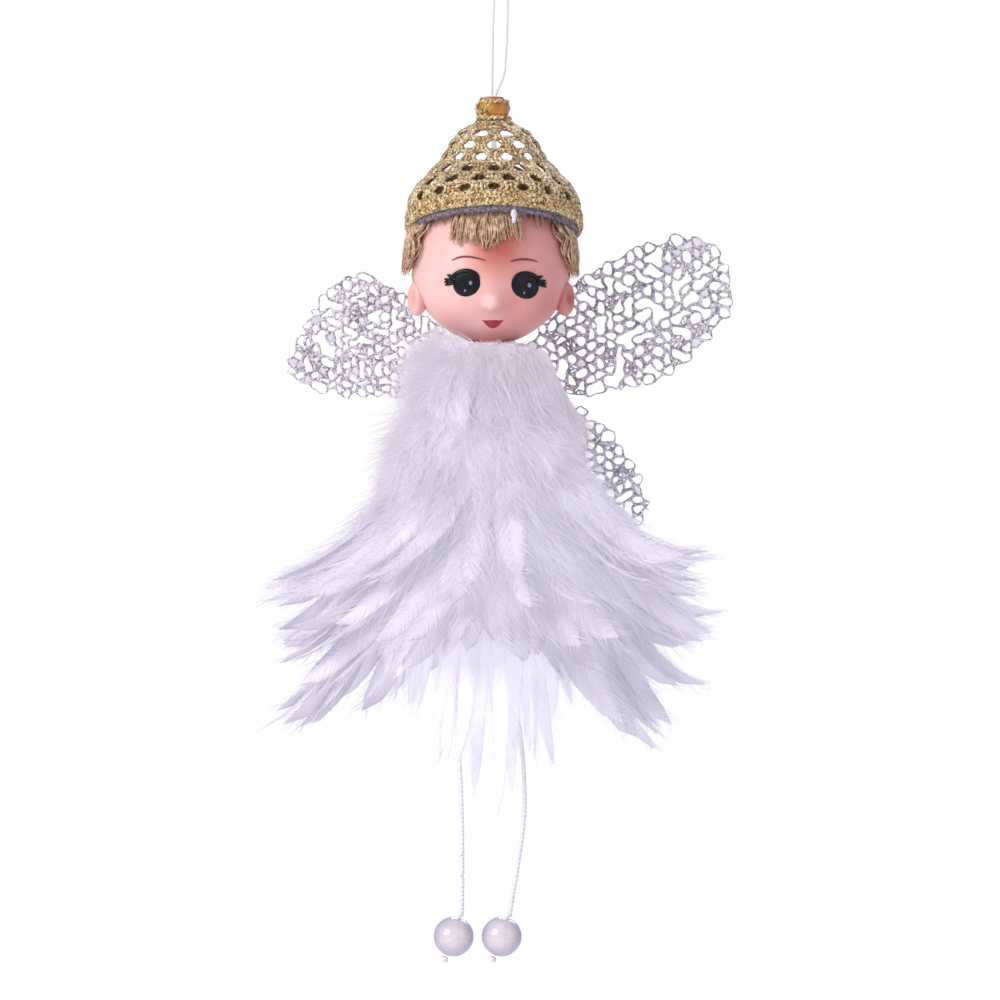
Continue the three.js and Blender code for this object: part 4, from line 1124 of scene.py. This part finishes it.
# Skirts: three rings of long, satin hackle feathers on tapes, one above the other. They part at the
# front, sweep out to both sides and turn up or hang at their tips.
SKIRTS = {  # number of feathers, sweep aside, how much shorter at the parting, looseness, wisps of down
    "upper_skirt": (70, 0.35, 0.0, 0.5, 4200),
    "middle_skirt": (66, 0.75, 0.05, 0.1, 1100),
    "lower_skirt": (62, 1.0, 0.42, 0.04, 200),
}
SKIRT_WIDTH = 9.5 * mm  # of one feather
SKIRT_BARBS = 46
HANGING = (0.2, 1.9)  # angles from the parting between which the lowest feathers hang down
TURNED_UP = (0.7, 2.3)  # and between which the others may turn up at their tips
TURN_UP = 7  # by so much at most, in millimetres
hackle = plumage("white_hackle", "d3d0de", "eeecf5", 0.2)
# The blades are a darker copy of the hackle's white: painted shade, as the lamps light them more than the
# barbs.
satin = plumage("satin_vane_painted_shade", "c4c0cf", "e4e2ec", 0.18)


def skirt_line(node, angle, aside, short):
    """One hackle of a skirt: it sweeps away from the parting, and may turn up on the right."""
    off = from_parting(angle)
    drift = aside * sin(2 * min(abs(off), pi / 2)) * vary(0.6, 1.1)
    sweep = copysign(drift, off) + vary(-0.14, 0.14)
    reach = vary(0.82, 1.03) * (1 - 0.16 * max(0, cos(off)))
    drop = vary(0.92, 1.1)
    if node == "upper_skirt":
        reach *= 1 + 0.12 * max(0, -cos(angle))
    turn_up = 0.0
    if node == "lower_skirt" and HANGING[0] < off < HANGING[1]:
        reach *= 0.68
        drop *= 1.06
    elif TURNED_UP[0] < off < TURNED_UP[1]:
        turn_up = vary(0, TURN_UP)
    length = 1 - short * (exp(-(off / 0.5) ** 2) + 0.8 * exp(-((pi - abs(off)) / 0.8) ** 2))
    return shaft(node, angle, sweep, reach, drop, turn_up, vary(-2.5, 3), length)


for node, (count, aside, short, downy, wisps) in SKIRTS.items():
    lines = [skirt_line(node, angle, aside, short) for angle in spaced(count)]
    feather_ring(node, satin, hackle, lines, SKIRT_WIDTH, SKIRT_BARBS, downy, wisps, 0.5)

# Under skirt: long, pale feathers on the lowest tape that hang straight in the middle, over the legs.
# Those at the sides are short, and the skirts hide them.
pale = plumage("pale_hackle", "d6d5df", "f2f2f7", 0.31)


def under_line(angle):
    """One hanging feather, long at the front and at the back and short at the sides."""
    drop = 1 - 0.62 * abs(cos(angle)) ** 1.5
    sweep = vary(-0.2, 0.2)
    return shaft("under_skirt", angle, sweep, 0.7, drop * vary(0.8, 1.12))


under_lines = [under_line(angle) for angle in spaced(38)]
feather_ring("under_skirt", pale, pale, under_lines, width=5 * mm, count=40, downy=0.12)

# Wing patch: a square of white felt sewn through the collar to the back of the core. Its shank is
# bound thread, and the wing nets are stitched to its edges.
PATCH_MIDDLE = Vector((0.8, 19.1, -82.22)) * mm
PATCH_SIZE = Vector((7.6, 1.0, 7.4)) * mm
SHANK_DIAMETER = 2.4 * mm
SHANK_HEIGHT = -81.02 * mm
SHANK_ENDS = (8.3 * mm, 18.7 * mm)
SHANK_TURNS = 14
SHANK_THREAD = 0.75 * mm
felt = Finish("white_felt", Roughness=0.95, Sheen_Weight=0.4).mottle(900, "dedae6", "f3f1f7")
felt.grain(5000, 0.25 * mm)
patch_bm = bmesh.new()
bmesh.ops.create_cube(patch_bm, size=1)
bmesh.ops.scale(patch_bm, vec=PATCH_SIZE, verts=patch_bm.verts)
soften(patch_bm, patch_bm.edges[:], 0.3 * mm)
bmesh.ops.translate(patch_bm, vec=PATCH_MIDDLE, verts=patch_bm.verts)
show(mesh_of(patch_bm), "felt_patch", felt, "torso", ["wing_patch"])
winding = []
half = SHANK_DIAMETER * 0.36
for step in range(SHANK_TURNS * 12 + 1):
    angle = step / 12 * 2 * pi
    y = SHANK_ENDS[0] + (SHANK_ENDS[1] - SHANK_ENDS[0]) * step / (SHANK_TURNS * 12)
    winding.append((Vector((PATCH_MIDDLE.x + half * cos(angle), y, SHANK_HEIGHT + half * sin(angle))), 1.0))
show(strands([winding], SHANK_THREAD), "shank_winding", cotton, "torso", ["wing_patch"])

# Wings: four pieces of stiff, irregular silver net with glitter, stitched by their roots to the patch's
# edges. Some cells of the net are closed by a lilac film.
NET_STEPS = {"right": 1.3 * mm, "left": 1.05 * mm}  # side of a cell
NET_WIRE = 1.38 * mm
FILM = 0.05 * mm
FILM_AREA = 4.5 * mm * mm  # larger cells stay open
FILM_SHARE = 0.05  # of the cells at the root, and how much more at the tip
FILM_RISE = 0.4
SPOKED = 0.16  # share of the cells that keep the spokes to their middle
UNEVEN = 0.46  # how far a corner strays, as a share of a cell's side
OPENED = 0.09  # share of the strands that are left out
WING_REACH = 19.1
UPPER_HEIGHT = -81.22
LOWER_HEIGHT = -84.42
LOWER_LEAN = radians(26)
RIGHT_SEAM = 4.75
LEFT_SEAM = -3.15
WINGS = {  # seam in X, root's height, lean, and the outline from the root, all in millimetres
    "right_upper_wing": (RIGHT_SEAM, UPPER_HEIGHT, 0, [
        (0, 4), (5, 12.5), (12, 21.5), (27.2, 29), (37.8, 30), (43, 22.2), (41, 12.6), (28, 1.8),
        (10, -1.5), (0, -1.4),
    ]),
    "left_upper_wing": (LEFT_SEAM, UPPER_HEIGHT, 0, [
        (0, 4), (-10, 14), (-19.5, 21.4), (-25.6, 22.8), (-31, 19.4), (-38.9, 4.8), (-35, 0.6), (-22, -1.7),
        (0, -1.4),
    ]),
    "right_lower_wing": (RIGHT_SEAM, LOWER_HEIGHT, LOWER_LEAN, [
        (0, -0.4), (11, -0.5), (18, -6), (25.5, -17), (26.5, -25), (20, -28.5), (11, -20), (2, -7),
        (0, -4.2),
    ]),
    "left_lower_wing": (LEFT_SEAM, LOWER_HEIGHT, LOWER_LEAN, [
        (0, -0.4), (-9, -0.5), (-14.5, -6), (-20, -16), (-20.5, -25), (-15, -28), (-8, -19), (-2, -7),
        (0, -4.2),
    ]),
}
net_random = random.Random(41)


def inside(x, z, outline):
    """Whether a point lies inside an outline."""
    within = False
    for (x1, z1), (x2, z2) in zip(outline, outline[1:] + outline[:1]):
        if (z1 > z) != (z2 > z) and x < x1 + (z - z1) / (z2 - z1) * (x2 - x1):
            within = not within
    return within


def wing_net(outline, step):
    """A flat sheet of irregular six-sided cells in X and Z inside an outline."""
    rounded = smooth_route([(x * mm, 0, z * mm) for x, z in outline], 4)
    border = [(p.x, p.z) for p in rounded]
    left, right = min(x for x, _ in border), max(x for x, _ in border)
    foot, top = min(z for _, z in border), max(z for _, z in border)
    columns = round((right - left) / step) + 4
    rows = round((top - foot) / (step * 0.87)) + 4
    bm = bmesh.new()
    bmesh.ops.create_grid(bm, x_segments=columns, y_segments=rows, size=0.5)
    middles = []
    for vert in bm.verts:
        column = round((vert.co.x + 0.5) * columns)
        row = round((vert.co.y + 0.5) * rows)
        x = left + (column - 2 + 0.5 * (row % 2)) * step
        vert.co = Vector((x, 0, foot + (row - 2) * step * 0.87))
        if (column - row // 2 - row) % 3 == 0 and net_random.random() > SPOKED:
            middles.append(vert)
    bmesh.ops.triangulate(bm, faces=bm.faces, quad_method="SHORT_EDGE")
    bmesh.ops.dissolve_verts(bm, verts=middles)
    for vert in bm.verts:
        vert.co += Vector((net_random.uniform(-1, 1), 0, net_random.uniform(-1, 1))) * step * UNEVEN
    centres = [(face, face.calc_center_median()) for face in bm.faces]
    outside = [face for face, centre in centres if not inside(centre.x, centre.z, border)]
    bmesh.ops.delete(bm, geom=outside, context="FACES")
    opened = [e for e in bm.edges if len(e.link_faces) == 2 and net_random.random() < OPENED]
    bmesh.ops.dissolve_edges(bm, edges=opened, use_verts=False)
    return bm


silver = tinsel("silver_net", 0.15, "8f8b96", "c6c3ce", "eae8f0", "ffffff", 0.24)
film = Finish("lilac_film", Roughness=0.25, Alpha=0.28).mottle(400, "b9b4d6", "e3e0f2")
for node, (seam, height, lean, outline) in WINGS.items():
    side = node.split("_")[0]
    body = side + "_wing"
    root = Vector((seam, WING_REACH, height)) * mm
    bm = wing_net(outline, NET_STEPS[side])
    for vert in bm.verts:
        vert.co.y += 0.35 * mm * sin(vert.co.x / (5 * mm)) * sin(vert.co.z / (7 * mm) + 1)
        vert.co = Matrix.Rotation(lean, 3, "X") @ vert.co + root
    films = bm.copy()
    reach = max((v.co - root).length for v in bm.verts)
    left_open = [
        f for f in films.faces
        if f.calc_area() > FILM_AREA
        or net_random.random()
        > FILM_SHARE + FILM_RISE * ((f.calc_center_median() - root).length / reach) ** 3
    ]
    bmesh.ops.delete(films, geom=left_open, context="FACES")
    at_edges = [vert.is_boundary for vert in bm.verts]
    netting = show(mesh_of(bm), node + "_net", silver, body, [node])
    widths = netting.vertex_groups.new(name="strand_width")
    for index, at_edge in enumerate(at_edges):
        widths.add([index], net_random.uniform(*((0.2, 0.5) if at_edge else (0.35, 1))), "REPLACE")
    wires = netting.modifiers.new("wires", "WIREFRAME")
    wires.thickness = NET_WIRE
    wires.vertex_group = widths.name
    wires.use_boundary = True
    wires.use_even_offset = False
    rounding = netting.modifiers.new("rounding", "SUBSURF")
    rounding.levels = 1
    rounding.render_levels = 1
    sheet = show(mesh_of(films), node + "_film", film, body, [node])
    thicken(sheet, FILM)
